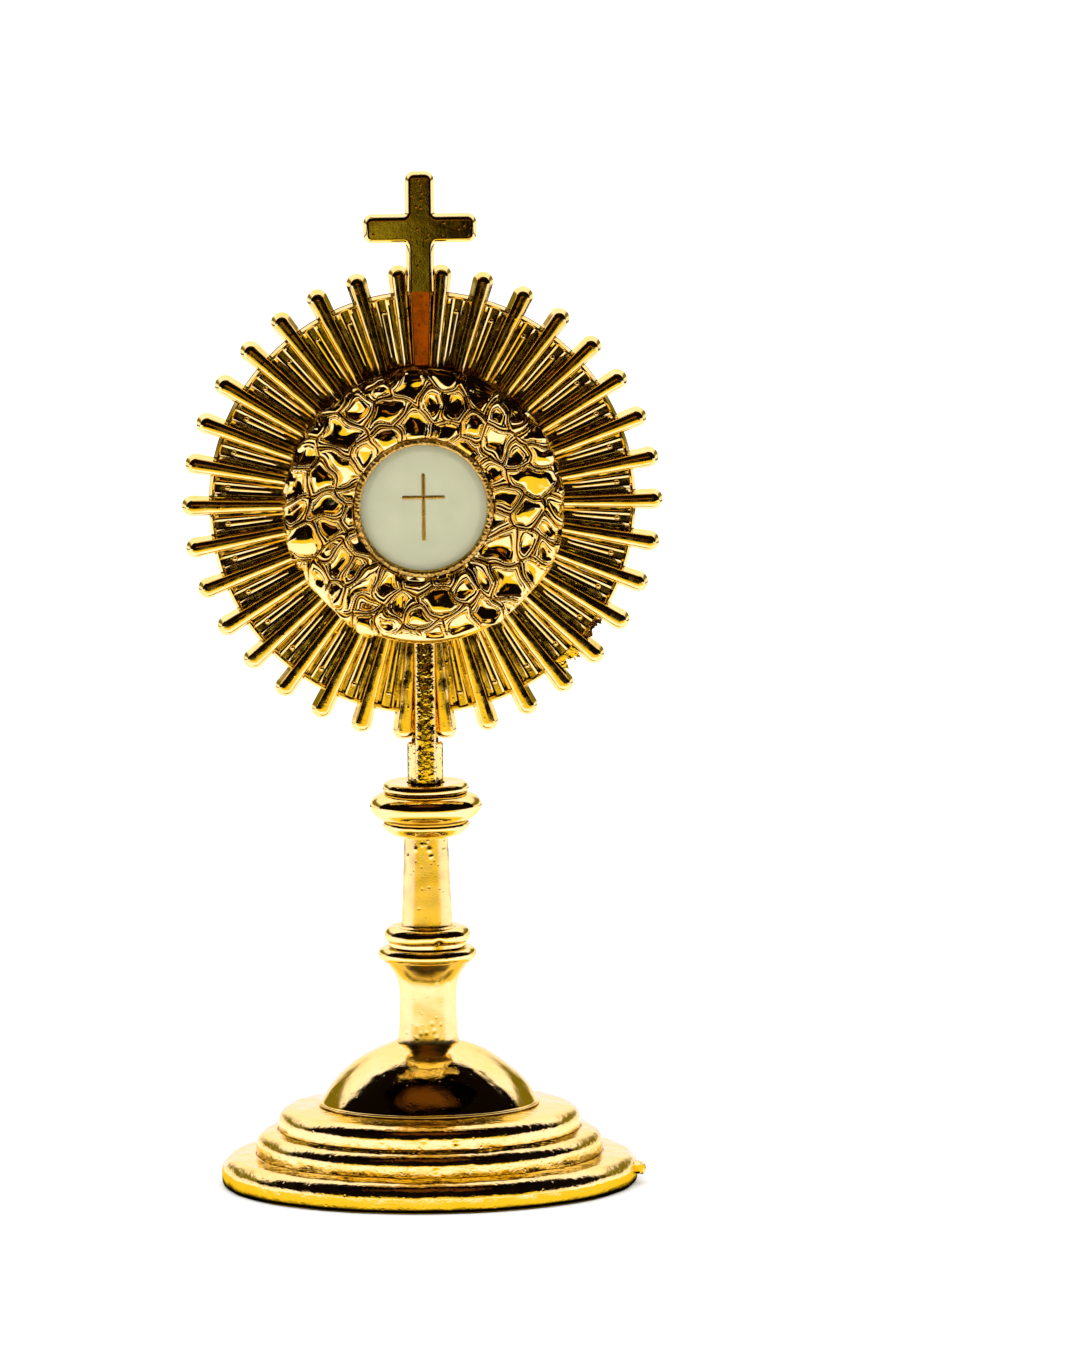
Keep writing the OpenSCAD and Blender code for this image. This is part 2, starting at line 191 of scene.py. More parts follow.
def level(outline, forward):
    """A flat loop: an outline at one height or forward distance."""
    outline = np.array(outline)
    return np.column_stack([outline, np.full(len(outline), forward)])


def to_head(verts, place=(0, 0)):
    """Moves (x, y, forward) into the head: y becomes up and forward becomes -Y."""
    v = np.asarray(verts, float)
    return np.stack([v[:, 0] + place[0], -v[:, 2], v[:, 1] + place[1] + HEAD_Z], -1)


def stacked(loops):
    """Faces of loops with equal counts, closed with a flat cap at both ends."""
    count = len(loops[0])
    faces = grid_faces(len(loops), count)
    last = (len(loops) - 1) * count
    faces.append(list(range(count))[::-1])
    faces.append(list(range(last, last + count)))
    return np.concatenate(loops), faces


def clean(mesh):
    """Welds doubled points and turns every face outwards."""
    bm = bmesh.new()
    bm.from_mesh(mesh)
    bmesh.ops.remove_doubles(bm, verts=bm.verts, dist=WELD_M)
    bmesh.ops.dissolve_degenerate(bm, edges=bm.edges, dist=WELD_M)
    bmesh.ops.recalc_face_normals(bm, faces=bm.faces)
    bm.to_mesh(mesh)
    bm.free()


def new_mesh(name, points, faces, material):
    """A mesh, in metres, with one material."""
    mesh = bpy.data.meshes.new(name)
    mesh.from_pydata(points.tolist(), [], faces)
    mesh.materials.append(material)
    return mesh


def new_object(name, data):
    """A new object in the scene."""
    obj = bpy.data.objects.new(name, data)
    bpy.context.scene.collection.objects.link(obj)
    return obj


def piece(name, shape, material, node, body="stand", sharp=32):
    """Makes the object of a sub-part, hangs it on its body and hides the CAD node it replaces."""
    mesh = new_mesh(name, shape.points() * MM, shape.faces, material)
    clean(mesh)
    mesh.polygons.foreach_set("use_smooth", [True] * len(mesh.polygons))
    mesh.set_sharp_from_angle(angle=math.radians(sharp))
    obj = new_object(name, mesh)
    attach(obj, body)
    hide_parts(node)
    return obj


def lathe(name, outline, material, node, steps=200, longest=None):
    """A piece turned about the stem. longest is the longest segment its outline may keep."""
    if longest:
        outline = refine(outline, longest)
    return piece(name, Shape().add(*turned(outline, steps)), material, node)


def head_turned(outline, steps, place=(0, 0), ring=True):
    """A profile turned about the head's own axis, or about a parallel one at place."""
    verts, faces = turned(outline, steps, ring)
    return to_head(verts, place), faces


def head_stacked(loops, place=(0, 0)):
    """Flat loops of the head, one behind the other."""
    verts, faces = stacked(loops)
    return to_head(verts, place), faces


def surface(obj):
    """Positions and normals of an object's vertices."""
    vertices = obj.data.vertices
    co = np.zeros(len(vertices) * 3)
    normal = np.zeros(len(vertices) * 3)
    vertices.foreach_get("co", co)
    obj.data.vertex_normals.foreach_get("vector", normal)
    return co.reshape(-1, 3), normal.reshape(-1, 3)


def push(obj, co, normal, move):
    """Moves each vertex along its normal, in millimetres."""
    co += normal * move[:, None] * MM
    obj.data.vertices.foreach_set("co", co.ravel())
    obj.data.update()


def roughen(obj, amount, size, seed, keep=None):
    """Moves each vertex along its normal by smooth seeded noise, in millimetres."""
    co, normal = surface(obj)
    move = field(co / MM, size, seed) * amount
    if keep is not None:
        move *= keep(co / MM)
    push(obj, co, normal, move)


def dent(obj, places, radius, depth, seed):
    """Presses small round pits, or raises pimples where depth is negative."""
    rng = np.random.default_rng(seed)
    co, normal = surface(obj)
    move = np.zeros(len(co))
    for place in places:
        size = radius * rng.uniform(0.6, 1.4)
        away = np.linalg.norm(co / MM - np.array(place), axis=1) / size
        move -= depth * rng.uniform(0.5, 1.3) * np.exp(-away ** 2)
    push(obj, co, normal, move)


# ---- materials ---------------------------------------------------------

class Graph:
    """A material's node tree, with short calls to add and join nodes."""

    def __init__(self, name):
        self.material = bpy.data.materials.new(name)
        self.material.use_nodes = True
        self.tree = self.material.node_tree
        self.tree.nodes.clear()
        self.shader = self.add("ShaderNodeBsdfPrincipled")
        out = self.add("ShaderNodeOutputMaterial")
        self.join(self.shader, "BSDF", out, "Surface")
        self.place = self.add("ShaderNodeTexCoord")

    def fill(self, node, values):
        """Sets a node's own sockets; a socket's spaces are written as underscores."""
        for key, value in values.items():
            node.inputs[key.replace("_", " ")].default_value = value

    def add(self, kind, settings=None, **inputs):
        node = self.tree.nodes.new(kind)
        for key, value in (settings or {}).items():
            setattr(node, key, value)
        self.fill(node, inputs)
        return node

    def join(self, source, output, target, socket):
        self.tree.links.new(source.outputs[output], target.inputs[socket])
        return target

    def noise(self, size_mm, detail=3.0, roughness=0.55):
        node = self.add("ShaderNodeTexNoise", None, Scale=1 / (size_mm * MM), Detail=detail,
                        Roughness=roughness)
        return self.join(self.place, "Object", node, "Vector")

    def cells(self, size_mm):
        node = self.add("ShaderNodeTexVoronoi", None, Scale=1 / (size_mm * MM))
        return self.join(self.place, "Object", node, "Vector")

    def span(self, source, output, low, high, to_low, to_high):
        """Maps low..high of an output smoothly to to_low..to_high."""
        node = self.add("ShaderNodeMapRange", {"clamp": True, "interpolation_type": "SMOOTHSTEP"},
                        From_Min=low, From_Max=high, To_Min=to_low, To_Max=to_high)
        return self.join(source, output, node, "Value")

    def bump(self, source, output, depth_mm, after=None):
        node = self.add("ShaderNodeBump", None, Distance=depth_mm * MM)
        self.join(source, output, node, "Height")
        if after:
            self.join(after, "Normal", node, "Normal")
        return node

    def tint(self, source, output, low_colour, high_colour, low=0.35, high=0.65):
        """Blends from one colour to another between two heights of a noise."""
        ramp = self.add("ShaderNodeValToRGB")
        ends = ramp.color_ramp.elements
        for end, position, colour in zip(ends, (low, high), (low_colour, high_colour)):
            end.position = position
            end.color = (*colour, 1)
        return self.join(source, output, ramp, "Fac")

    def gold(self, patches, shades, crevice_mm, corners):
        """Bare gold in two tones, with painted shade in its corners, olive where it curves away from the
        eye.
        """
        self.fill(self.shader, {"Metallic": 1.0, "Specular Tint": (*EDGE_TINT, 1)})
        colour = self.tint(patches, "Fac", *shades)
        # Painted shade: ambient occlusion darkens the colour towards a dark brown in corners and grooves.
        corner = self.add("ShaderNodeAmbientOcclusion", {"samples": 6}, Distance=crevice_mm * MM)
        open_area = self.span(corner, "AO", *corners, 0.0, 1.0)
        mix = self.add("ShaderNodeMix", {"data_type": "RGBA", "blend_type": "MIX"})
        factor, low, high, result = 0, 6, 7, 2
        mix.inputs[low].default_value = (*CORNER_SHADE, 1)
        self.join(open_area, "Result", mix, factor)
        self.join(colour, "Color", mix, high)
        self.join(mix, result, self.shader, "Base Color")

    def smears(self, noise, low, high, roughness):
        """Roughness in patches of a noise, between a least and a greatest value."""
        self.join(self.span(noise, "Fac", low, high, *roughness), "Result", self.shader, "Roughness")

    def colour(self, noise, *shades):
        self.join(self.tint(noise, "Fac", *shades), "Color", self.shader, "Base Color")

    def relief(self, bump):
        self.join(bump, "Normal", self.shader, "Normal")


GOLD = (1.0, 0.78, 0.24)
GOLD_DEEP = (0.98, 0.73, 0.17)
# Dark brown of the painted shade in corners and grooves.
CORNER_SHADE = (0.22, 0.12, 0.015)
EDGE_TINT = (0.92, 0.84, 0.5)
RAY_DEEP = (0.95, 0.67, 0.12)
IVORY = (0.51, 0.505, 0.34)
IVORY_DEEP = (0.47, 0.465, 0.308)


def gilt(name, roughness=(0.07, 0.16), wave=0.012, grain=0.006, grain_size=0.35, pits=0.02,
         crevice=0.9, light=GOLD, deep=GOLD_DEEP):
    """Gold plate over a casting: slow waves, fine grain, small pits, painted shade in the corners."""
    g = Graph(name)
    g.gold(g.noise(7.0, detail=4.0), (deep, light, 0.3, 0.6), crevice, (0.08, 0.55))
    g.smears(g.noise(2.6, detail=5.0, roughness=0.65), 0.35, 0.68, roughness)
    slow = g.bump(g.noise(2.8, detail=1.0), "Fac", wave)
    fine = g.bump(g.noise(grain_size, detail=2.5, roughness=0.6), "Fac", grain, after=slow)
    specks = g.span(g.cells(1.7), "Distance", 0.05, 0.24, 0.0, 1.0)
    g.relief(g.bump(specks, "Result", pits, after=fine))
    return g.material


def ray_gilt(name):
    """Gold with a cast skin on the faces, as on the rays and the flutes."""
    g = Graph(name)
    # gold() paints shade into the corners here too.
    g.gold(g.noise(4.0, detail=4.0), (RAY_DEEP, GOLD, 0.3, 0.62), 0.5, (0.1, 0.6))
    g.smears(g.noise(1.6, detail=5.0), 0.35, 0.7, (0.07, 0.17))
    skin = g.bump(g.noise(1.1, detail=3.0, roughness=0.55), "Fac", 0.009)
    lumps = g.span(g.cells(1.9), "Distance", 0.0, 0.22, 1.0, 0.0)
    g.relief(g.bump(lumps, "Result", 0.014, after=skin))
    return g.material


def satin_metal(name, low, high):
    """Plain metal of the hidden fastenings: fine brushing and a little staining."""
    g = Graph(name)
    g.fill(g.shader, {"Metallic": 1.0})
    g.colour(g.noise(3.0, detail=5.0), low, high)
    g.smears(g.noise(0.8, detail=4.0), 0.3, 0.7, (0.2, 0.34))
    g.relief(g.bump(g.noise(0.25), "Fac", 0.004))
    return g.material


def ivory(name):
    """Glossy ivory disc with a faint cloudiness."""
    g = Graph(name)
    g.fill(g.shader, {"Subsurface Weight": 0.12, "Subsurface Radius": (0.0012, 0.001, 0.0007),
                      "Subsurface Scale": 1.0, "Coat Weight": 0.35, "Coat Roughness": 0.06})
    g.colour(g.noise(5.0), IVORY_DEEP, IVORY)
    g.smears(g.noise(2.0), 0.3, 0.7, (0.16, 0.24))
    g.relief(g.bump(g.noise(1.2, detail=2.0), "Fac", 0.003))
    return g.material


def clear_glass(name):
    """Thin clear pane: it mirrors more at a slant, and lets the rest through."""
    g = Graph(name)
    g.fill(g.shader, {"Metallic": 1.0, "Base Color": (0.95, 0.98, 0.96, 1)})
    g.smears(g.noise(6.0, detail=5.0), 0.45, 0.8, (0.01, 0.06))
    slant = g.add("ShaderNodeLayerWeight", None, Blend=0.5)
    g.join(g.span(slant, "Facing", 0.45, 1.0, 0.025, 0.85), "Result", g.shader, "Alpha")
    return g.material


gilt_foot = gilt("gilt_foot", wave=0.014, grain=0.075, grain_size=1.0, pits=0.04)
gilt_column = gilt("gilt_column", roughness=(0.15, 0.24), wave=0.01, grain=0.012, pits=0.02, crevice=0.7)
gilt_satin = gilt("gilt_satin", roughness=(0.2, 0.27), wave=0.01, grain=0.012, pits=0.02, crevice=0.7)
gilt_dome = gilt("gilt_dome", roughness=(0.05, 0.1), wave=0.01, grain=0.018, grain_size=0.6, pits=0.02)
gilt_ring = gilt("gilt_ring", roughness=(0.07, 0.15), wave=0.012, grain=0.01, pits=0.02, crevice=0.7)
gilt_tang = gilt("gilt_tang", roughness=(0.05, 0.1), wave=0.02, grain=0.11, grain_size=1.3, pits=0.06)
gilt_bright = gilt("gilt_bright", roughness=(0.05, 0.1), wave=0.006, grain=0.004, pits=0.01)
gilt_wreath = gilt("gilt_wreath", roughness=(0.04, 0.09), wave=0.006, grain=0.003, pits=0.008, crevice=0.4)
gilt_ray = ray_gilt("gilt_ray")
gilt_fine = gilt("gilt_fine", roughness=(0.26, 0.42), wave=0.01, grain=0.05, grain_size=0.4, pits=0.03,
                 crevice=0.5, light=(0.8, 0.52, 0.1), deep=(0.5, 0.3, 0.04))
gilt_burnished = gilt("gilt_burnished", roughness=(0.1, 0.18), wave=0.012, grain=0.006, pits=0.012,
                      crevice=0.5, light=(0.98, 0.5, 0.07), deep=(0.9, 0.4, 0.04))
raw_brass = satin_metal("raw_brass", (0.58, 0.44, 0.1), (0.74, 0.58, 0.16))
steel = satin_metal("steel", (0.42, 0.45, 0.29), (0.56, 0.6, 0.39))
gilt_back = gilt("gilt_back", roughness=(0.26, 0.38), wave=0.01, grain=0.02, grain_size=0.6, pits=0.02,
                 light=(0.82, 0.66, 0.1), deep=(0.66, 0.5, 0.06))
ivory_gloss = ivory("ivory_gloss")
pane = clear_glass("pane")


# ---- foot and dome -----------------------------------------------------

def step_outline(wall_r, z0, shoulder_z, next_r, top_z):
    """Outline of one step: bulging wall, round shoulder, tread, and the groove at the next wall."""
    bulge_r, wall_top = 14, shoulder_z - 0.5
    half_axes = (min((wall_r - next_r) * 0.93, 3.6), top_z - shoulder_z - 0.55)
    wall = arc((wall_r - bulge_r, wall_top), bulge_r, -math.degrees((wall_top - z0) / bulge_r), 2, 8)
    shoulder = arc((wall_r - half_axes[0], shoulder_z), half_axes, 3, 84, 22)
    groove = [(next_r + 0.3, top_z - 0.32), (next_r + 0.05, top_z - 0.6), (next_r - 0.12, top_z - 0.5)]
    return wall + shoulder + groove


def foot():
    """Three rolled steps with a hollow below, the sprue's stub and a few casting pits."""
    mid_r, top_r, ledge_r = 38.7, 33.8, 25.2
    low_z, mid_z = 7.3, 12.8
    groove_points = 3
    outline = [(FOOT_R - 2.6, 0.0), (FOOT_R - 1.3, 0.0), (FOOT_R - 0.75, 0.12), (FOOT_R - 0.35, 0.5)]
    outline += step_outline(FOOT_R - 0.05, 0.9, 3.2, mid_r, low_z)
    outline += step_outline(mid_r, low_z, 9.3, top_r, mid_z)
    outline += step_outline(top_r, mid_z, 14.5, ledge_r, FOOT_TOP)[:-groove_points]
    outline += [(ledge_r, FOOT_TOP), (20.0, FOOT_TOP), (20.0, 15.8), (28.0, 15.8), (31.4, 14.0),
                (31.4, 10.6), (36.3, 9.0), (36.3, 5.0)]
    shape = Shape().add(*turned(refine(outline, 0.45), 420))
    shape.add(*sprue(FOOT_R - 1.0))
    obj = piece("foot", shape, gilt_foot, "base_foot")
    roughen(obj, 0.045, 5.0, 11)
    roughen(obj, 0.014, 1.3, 12)
    pits = [(r * math.sin(math.radians(a)), -r * math.cos(math.radians(a)), z)
            for a, r, z in ((0, 38.5, 8.6), (12, 38.6, 9.2), (-20, 33.7, 13.7), (26, 44.0, 6.6),
                            (31, 43.5, 6.8), (-4, 33.6, 14.6), (-29, 41.0, 7.0), (8, 33.7, 14.0))]
    dent(obj, pits, 0.5, 0.22, 5)
    for vertex in obj.data.vertices:
        vertex.co.z = max(vertex.co.z, 0.0)


def sprue(radius):
    """The little broken stub of the casting's sprue, at the right of the lowest step."""
    rng = np.random.default_rng(8)
    sides, across, height = 12, -6, 3.6
    a = np.linspace(0, 2 * math.pi, sides, endpoint=False)
    loops = []
    for reach, size in ((0.0, 1.5), (1.2, 1.4), (1.9, 1.2), (2.5, 0.8), (2.6, 0.4)):
        wild = size * (1 + 0.12 * rng.normal(size=sides) * reach)
        loops.append(np.stack([np.full(sides, radius + reach), across + 1.5 * wild * np.cos(a),
                               height + wild * np.sin(a)], -1))
    return stacked(loops)


def dome():
    """The polished dome, a hollow cap, with the small round ledge at its foot."""
    sphere_r, inner_r, centre_z, inner_top = 27.9, 25.9, 5.1, 26.0

    def latitude(z, radius):
        return math.degrees(math.asin((z - centre_z) / radius))

    outline = [(22.5, FOOT_TOP), (24.5, FOOT_TOP)]
    outline += arc((24.35, FOOT_TOP + 0.42), 0.42, -60, 100, 8)
    outline += arc((0, centre_z), sphere_r, latitude(FOOT_TOP + 0.95, sphere_r),
                   latitude(DOME_TOP, sphere_r), 60)
    outline += [(5.5, DOME_TOP), (BORE_R, DOME_TOP), (BORE_R, inner_top), (5.5, inner_top)]
    outline += arc((0, centre_z), inner_r, latitude(inner_top, inner_r), latitude(FOOT_TOP, inner_r), 40)
    obj = lathe("dome", outline, gilt_dome, "base_dome", steps=300)
    roughen(obj, 0.045, 6.0, 21)
    roughen(obj, 0.008, 1.6, 22)


# ---- stem --------------------------------------------------------------

def pits_on(radius, z_low, z_high, count, seed, front=70):
    """Seeded places on the front of a column."""
    rng = np.random.default_rng(seed)
    a = np.radians(rng.uniform(-front, front, count))
    z = rng.uniform(z_low, z_high, count)
    return [(radius * math.sin(t), -radius * math.cos(t), h) for t, h in zip(a, z)]


def lower_column():
    """The column that flares towards its top, and the bead rolled on that edge."""
    bead_foot, bead_z = 50.9, 52.0
    flare = smooth([(7.0, DOME_TOP), (6.68, DOME_TOP + 1.4), (6.45, 37.5), (6.35, 41.0), (6.45, 44.2),
                    (7.0, 46.6), (8.4, 48.9), (9.9, 50.5)], 7)
    outline = flare + [(9.7, bead_foot), (BORE_R, bead_foot), (BORE_R, DOME_TOP)]
    obj = lathe("column_lower", outline, gilt_satin, "lower_column", longest=0.35)
    roughen(obj, 0.02, 3.2, 31)
    dent(obj, pits_on(6.5, 33, 37, 14, 32), 0.35, 0.09, 33)
    dent(obj, pits_on(6.9, 44.5, 46.5, 4, 34, 55), 0.4, 0.07, 35)
    bead = [(BORE_R, bead_foot - 0.1)] + arc((9.5, bead_z), 1.5, -48, 112, 18)
    bead += [(8.75, 53.35), (8.6, COLLAR_Z), (BORE_R, COLLAR_Z)]
    obj = lathe("column_bead", bead, gilt_ring, "lower_column", longest=0.35)
    roughen(obj, 0.02, 3.2, 36)


def collar():
    """The second bead, on top of the flare."""
    outline = [(BORE_R, COLLAR_Z), (8.55, COLLAR_Z), (8.7, COLLAR_Z + 0.15), (8.72, 54.6)]
    outline += arc((7.65, 56.2), 1.95, -52, 88, 22)
    outline += [(6.6, COLUMN_FOOT_Z - 0.25), (6.2, COLUMN_FOOT_Z), (BORE_R, COLUMN_FOOT_Z)]
    obj = lathe("collar", outline, gilt_ring, "collar_ring", longest=0.4)
    roughen(obj, 0.03, 3.0, 41)
    dent(obj, [(2.6, -9.1, 55.0), (2.2, -9.2, 55.3)], 0.7, 0.25, 42)


def upper_column():
    """The slightly tapered upper column, pitted near its top."""
    outline = smooth([(5.85, COLUMN_FOOT_Z), (5.7, COLUMN_FOOT_Z + 0.5), (5.55, 62.0), (5.1, 72.0),
                      (4.88, COLUMN_HEAD_Z - 0.5), (5.0, COLUMN_HEAD_Z)], 10)
    outline += [(BORE_R, COLUMN_HEAD_Z), (BORE_R, COLUMN_FOOT_Z)]
    obj = lathe("column_upper", outline, gilt_column, "upper_column", longest=0.3)
    roughen(obj, 0.012, 3.0, 51)
    dent(obj, pits_on(5.0, 74, 78, 12, 52, 60), 0.32, 0.1, 53)


def knop_rings():
    """The moulded rings below and above the knob of the stem."""
    low = [(BORE_R, COLUMN_HEAD_Z), (6.9, COLUMN_HEAD_Z)]
    low += smooth([(7.1, COLUMN_HEAD_Z + 0.05), (8.3, 79.3), (9.2, 80.2)], 6)
    low += arc((8.57, 81.2), 1.1, -35, 105, 14) + [(8.0, KNOP_Z), (BORE_R, KNOP_Z)]
    roughen(lathe("knop_ring_low", low, gilt_ring, "knop_lower_ring"), 0.03, 2.5, 61)
    socket_r, socket_z = 4.35, 88.6
    high = [(BORE_R, KNOP_TOP_Z), (8.75, KNOP_TOP_Z)] + arc((8.45, 89.45), (1.2, 1.3), -62, 80, 14)
    high += [(7.9, 90.72), (socket_r, 90.5), (socket_r, socket_z), (BORE_R, socket_z)]
    roughen(lathe("knop_ring_high", high, gilt_ring, "knop_upper_ring"), 0.03, 2.5, 62)


def knop_body():
    """The flattened knob of the stem."""
    waist, round_r = 85.55, 4.3
    centre = (KNOP_R - round_r, waist)
    below = arc(centre, (round_r, waist - KNOP_Z + 0.25), -76, -8, 14)
    above = arc(centre, (round_r, KNOP_TOP_Z - waist + 0.15), 0, 74, 20)
    outline = [(8.9, KNOP_Z)] + below + above + [(8.7, KNOP_TOP_Z), (BORE_R, KNOP_TOP_Z), (BORE_R, KNOP_Z)]
    obj = lathe("knop_body", outline, gilt_bright, "knop", steps=240, longest=0.4)
    roughen(obj, 0.02, 3.0, 71)


# ---- head --------------------------------------------------------------

def bar_loops(half_widths, z_low, z_high, levels, spans, lean=0.0):
    """Loops round an upright bar, one for each level (inset, forward).

    half_widths are those of its foot and of its top. lean is how far its front sinks back
    at the top; what lies further back than front_f stays upright.
    """
    front_f = 4
    z = np.linspace(z_low, z_high, spans + 1)
    share = np.linspace(0, 1, spans + 1)
    width = half_widths[0] + (half_widths[1] - half_widths[0]) * share
    loops = []
    for inset, forward in levels:
        sunk = lean * share * (forward > front_f)
        left = np.stack([-width + inset, sunk - forward, z], -1)
        right = np.stack([width - inset, sunk - forward, z], -1)[::-1]
        loops.append(np.concatenate([left, right]))
    return loops


def tang():
    """Round shank in the stem, the rib in front of the rays, the web between them, the rear strap."""
    shank_top = HEAD_Z - RAY_TIP_R - 0.1
    web_low, rib_top = shank_top - 2, HEAD_Z - WREATH_R + 1.6
    seat_z, shoulder_z, shank_r = 88.7, 97.5, 4.0
    shank = [(0, shoulder_z), (BORE_R, shoulder_z), (BORE_R, seat_z), (shank_r - 0.05, seat_z)]
    shank += refine([(shank_r - 0.05, seat_z), (shank_r, 92.0), (shank_r, shank_top - 0.4)], 0.5)[1:]
    shank += [(3.6, shank_top), (0, shank_top)]
    rib = [(0.0, 2.45), (0.0, 4.1), (0.1, 4.75), (0.35, 5.2), (0.6, 5.35), (1.4, 5.4)]
    web = [(0.0, 0.6), (0.0, 2.6)]
    low_web = [(0.0, -0.81), (0.0, 0.7)]
    strap = [(0.0, PLATE_BACK_F), (0.0, -2.2), (0.12, -2.48), (0.4, -2.6)]
    shape = Shape().add(*turned(shank, 96, ring=False))
    shape.add(*stacked(bar_loops((2.35, 2.35), 90.9, rib_top, rib, 60, lean=1.25)))
    shape.add(*stacked(bar_loops((1.15, 1.15), web_low, rib_top, web, 4)))
    shape.add(*stacked(bar_loops((1.15, 1.15), web_low, HEAD_Z - PLATE_R - 0.1, low_web, 2)))
    shape.add(*stacked(bar_loops((3.0, 3.0), web_low, HEAD_Z - 29, strap, 12)))
    obj = piece("tang", shape, gilt_tang, "head_tang")
    roughen(obj, 0.035, 0.9, 81, keep=lambda p: (np.abs(p[:, 0]) < 2.2) & (p[:, 1] < -4.5))


GAP_FLOOR_F = 0.1
RIDGE_F = 0.46
RIM_F = 0.95


def ray_half_width(r):
    """Half width of a long ray at a radius."""
    return np.interp(r, [RAY_ROOT_R, RAY_TIP_R - RAY_TIP_HALF], [1.45, RAY_TIP_HALF])


def half_gap(r):
    """Half the width of the gap between two long rays at a radius."""
    return RAY_PITCH * r / 2 - ray_half_width(r)


def flute_height(v, r):
    """Forward height of the ray plate between two rays: v runs from -1 to 1 across the gap."""
    ridge = np.interp(v, [-0.78, -0.74, -0.55, -0.36, -0.32, 0.30, 0.34, 0.52, 0.70, 0.74],
                      [0, 0.6, 1, 0.6, 0, 0, 0.6, 1, 0.6, 0])
    flute_end = np.where(v < -0.5, 46.3, np.where(v < 0.45, 46.6, 46.2))
    rim_slope, bevel = 0.34, 0.66
    rim = np.clip((r - flute_end) / rim_slope, 0, 1)
    height = GAP_FLOOR_F + np.maximum((RIDGE_F - GAP_FLOOR_F) * ridge, (RIM_F - GAP_FLOOR_F) * rim)
    fall = np.clip((r - (PLATE_R - bevel)) / (bevel - 0.04), 0, 1)
    return height - fall * (RIM_F + 0.3)


def plate():
    """The disc behind the rays: fluted between the rays, plain at the back."""
    hole_r, flutes_r = 18.25, 24.0
    v = np.array([-1, -0.78, -0.74, -0.55, -0.36, -0.32, -0.1, 0.1, 0.30, 0.34, 0.52, 0.70, 0.74, 1.0])
    radii = np.concatenate([np.linspace(flutes_r, 46.4, 30), np.arange(46.5, PLATE_R - 0.05, 0.09),
                            [PLATE_R - 0.02]])
    angle = np.zeros((len(radii), RAY_COUNT, len(v)))
    height = np.zeros_like(angle)
    for k, r in enumerate(radii):
        for i in range(RAY_COUNT):
            angle[k, i] = i * RAY_PITCH + v * half_gap(r) / r
            height[k, i] = flute_height(v, r)
    angle, height = angle.reshape(len(radii), -1), height.reshape(len(radii), -1)
    flat = radii[:, None, None] * np.stack([np.sin(angle), np.cos(angle)], -1)
    rings = [level(flat[0] * hole_r / flutes_r, f) for f in (PLATE_BACK_F, 0.5)]
    rings += [np.column_stack([flat[k], height[k]]) for k in range(len(radii))]
    edge = PLATE_R / radii[-1]
    rings += [level(flat[-1] * scale, f)
              for scale, f in ((edge, -0.3), (edge, -0.55), (edge - 0.005, PLATE_BACK_F),
                               (0.9, PLATE_BACK_F), (0.6, PLATE_BACK_F))]
    faces = grid_faces(len(rings), angle.shape[1], wrap_rows=True)
    shape = Shape().add(to_head(np.concatenate(rings)), faces)
    for i in range(RAY_COUNT):
        shape.add(*reed(i * RAY_PITCH))
    obj = piece("ray_plate", shape, gilt_ray, "glory_plate", sharp=24)
    obj.data.materials.append(gilt_back)
    for face in obj.data.polygons:
        face.material_index = 1 if face.normal.y > 0.7 else 0


def spin(verts, angle):
    """Turns (across, outward, forward) clockwise from the top by an angle."""
    v = np.asarray(verts, float)
    across, out = v[:, 0], v[:, 1]
    x = across * math.cos(angle) + out * math.sin(angle)
    y = -across * math.sin(angle) + out * math.cos(angle)
    return np.stack([x, y, v[:, 2]], -1)


def reed(angle):
    """A raised reed in the wide channel, which ends in a round bead."""
    bead_r, root_r, tip_r = 0.66, 29.5, 43.6
    section = [(-0.5, 0.0), (-0.48, 0.36), (-0.22, 0.46), (0.22, 0.46), (0.48, 0.36), (0.5, 0.0)]
    loops = []
    for r in np.linspace(root_r, tip_r, 12):
        width = np.interp(r, [root_r, tip_r], [0.7, 1.15])
        loops.append(np.array([[s * width - 0.035 * half_gap(r), r, f] for s, f in section]))
    verts, faces = stacked(loops)
    shape = Shape().add(spin(verts, angle), faces)
    bead = [(0.0, 0.1), (bead_r, 0.1)] + arc((0, 0.2), (bead_r, 0.62), 0, 90, 8)
    verts, faces = turned(bead, 20, ring=False)
    verts[:, 1] += tip_r
    shape.add(spin(verts, angle), faces)
    return to_head(shape.points()), shape.faces


def ray_loop(t, forward):
    """Outline of a long ray inset by the share t of its bevel, at a forward distance."""
    half_root, half_tip = ray_half_width(RAY_ROOT_R) - 0.6 * t, RAY_TIP_HALF - t
    cap_y = RAY_TIP_R - RAY_TIP_HALF
    plate_edge = 47.4
    radii = np.concatenate([np.linspace(RAY_ROOT_R, plate_edge - 0.2, 20),
                            np.linspace(plate_edge + 0.2, cap_y, 6)])
    half = np.interp(radii, [RAY_ROOT_R, cap_y], [half_root, half_tip])
    left = np.stack([-half, radii], -1)
    cap = np.array(arc((0, cap_y), half_tip, 180, 0, 20))[1:-1]
    outline = np.concatenate([left, cap, left[::-1] * [-1, 1]])
    f = np.full(len(outline), forward)
    if forward < 0:
        f = np.where(outline[:, 1] < plate_edge, 0.4, forward)
    return np.column_stack([outline, f])


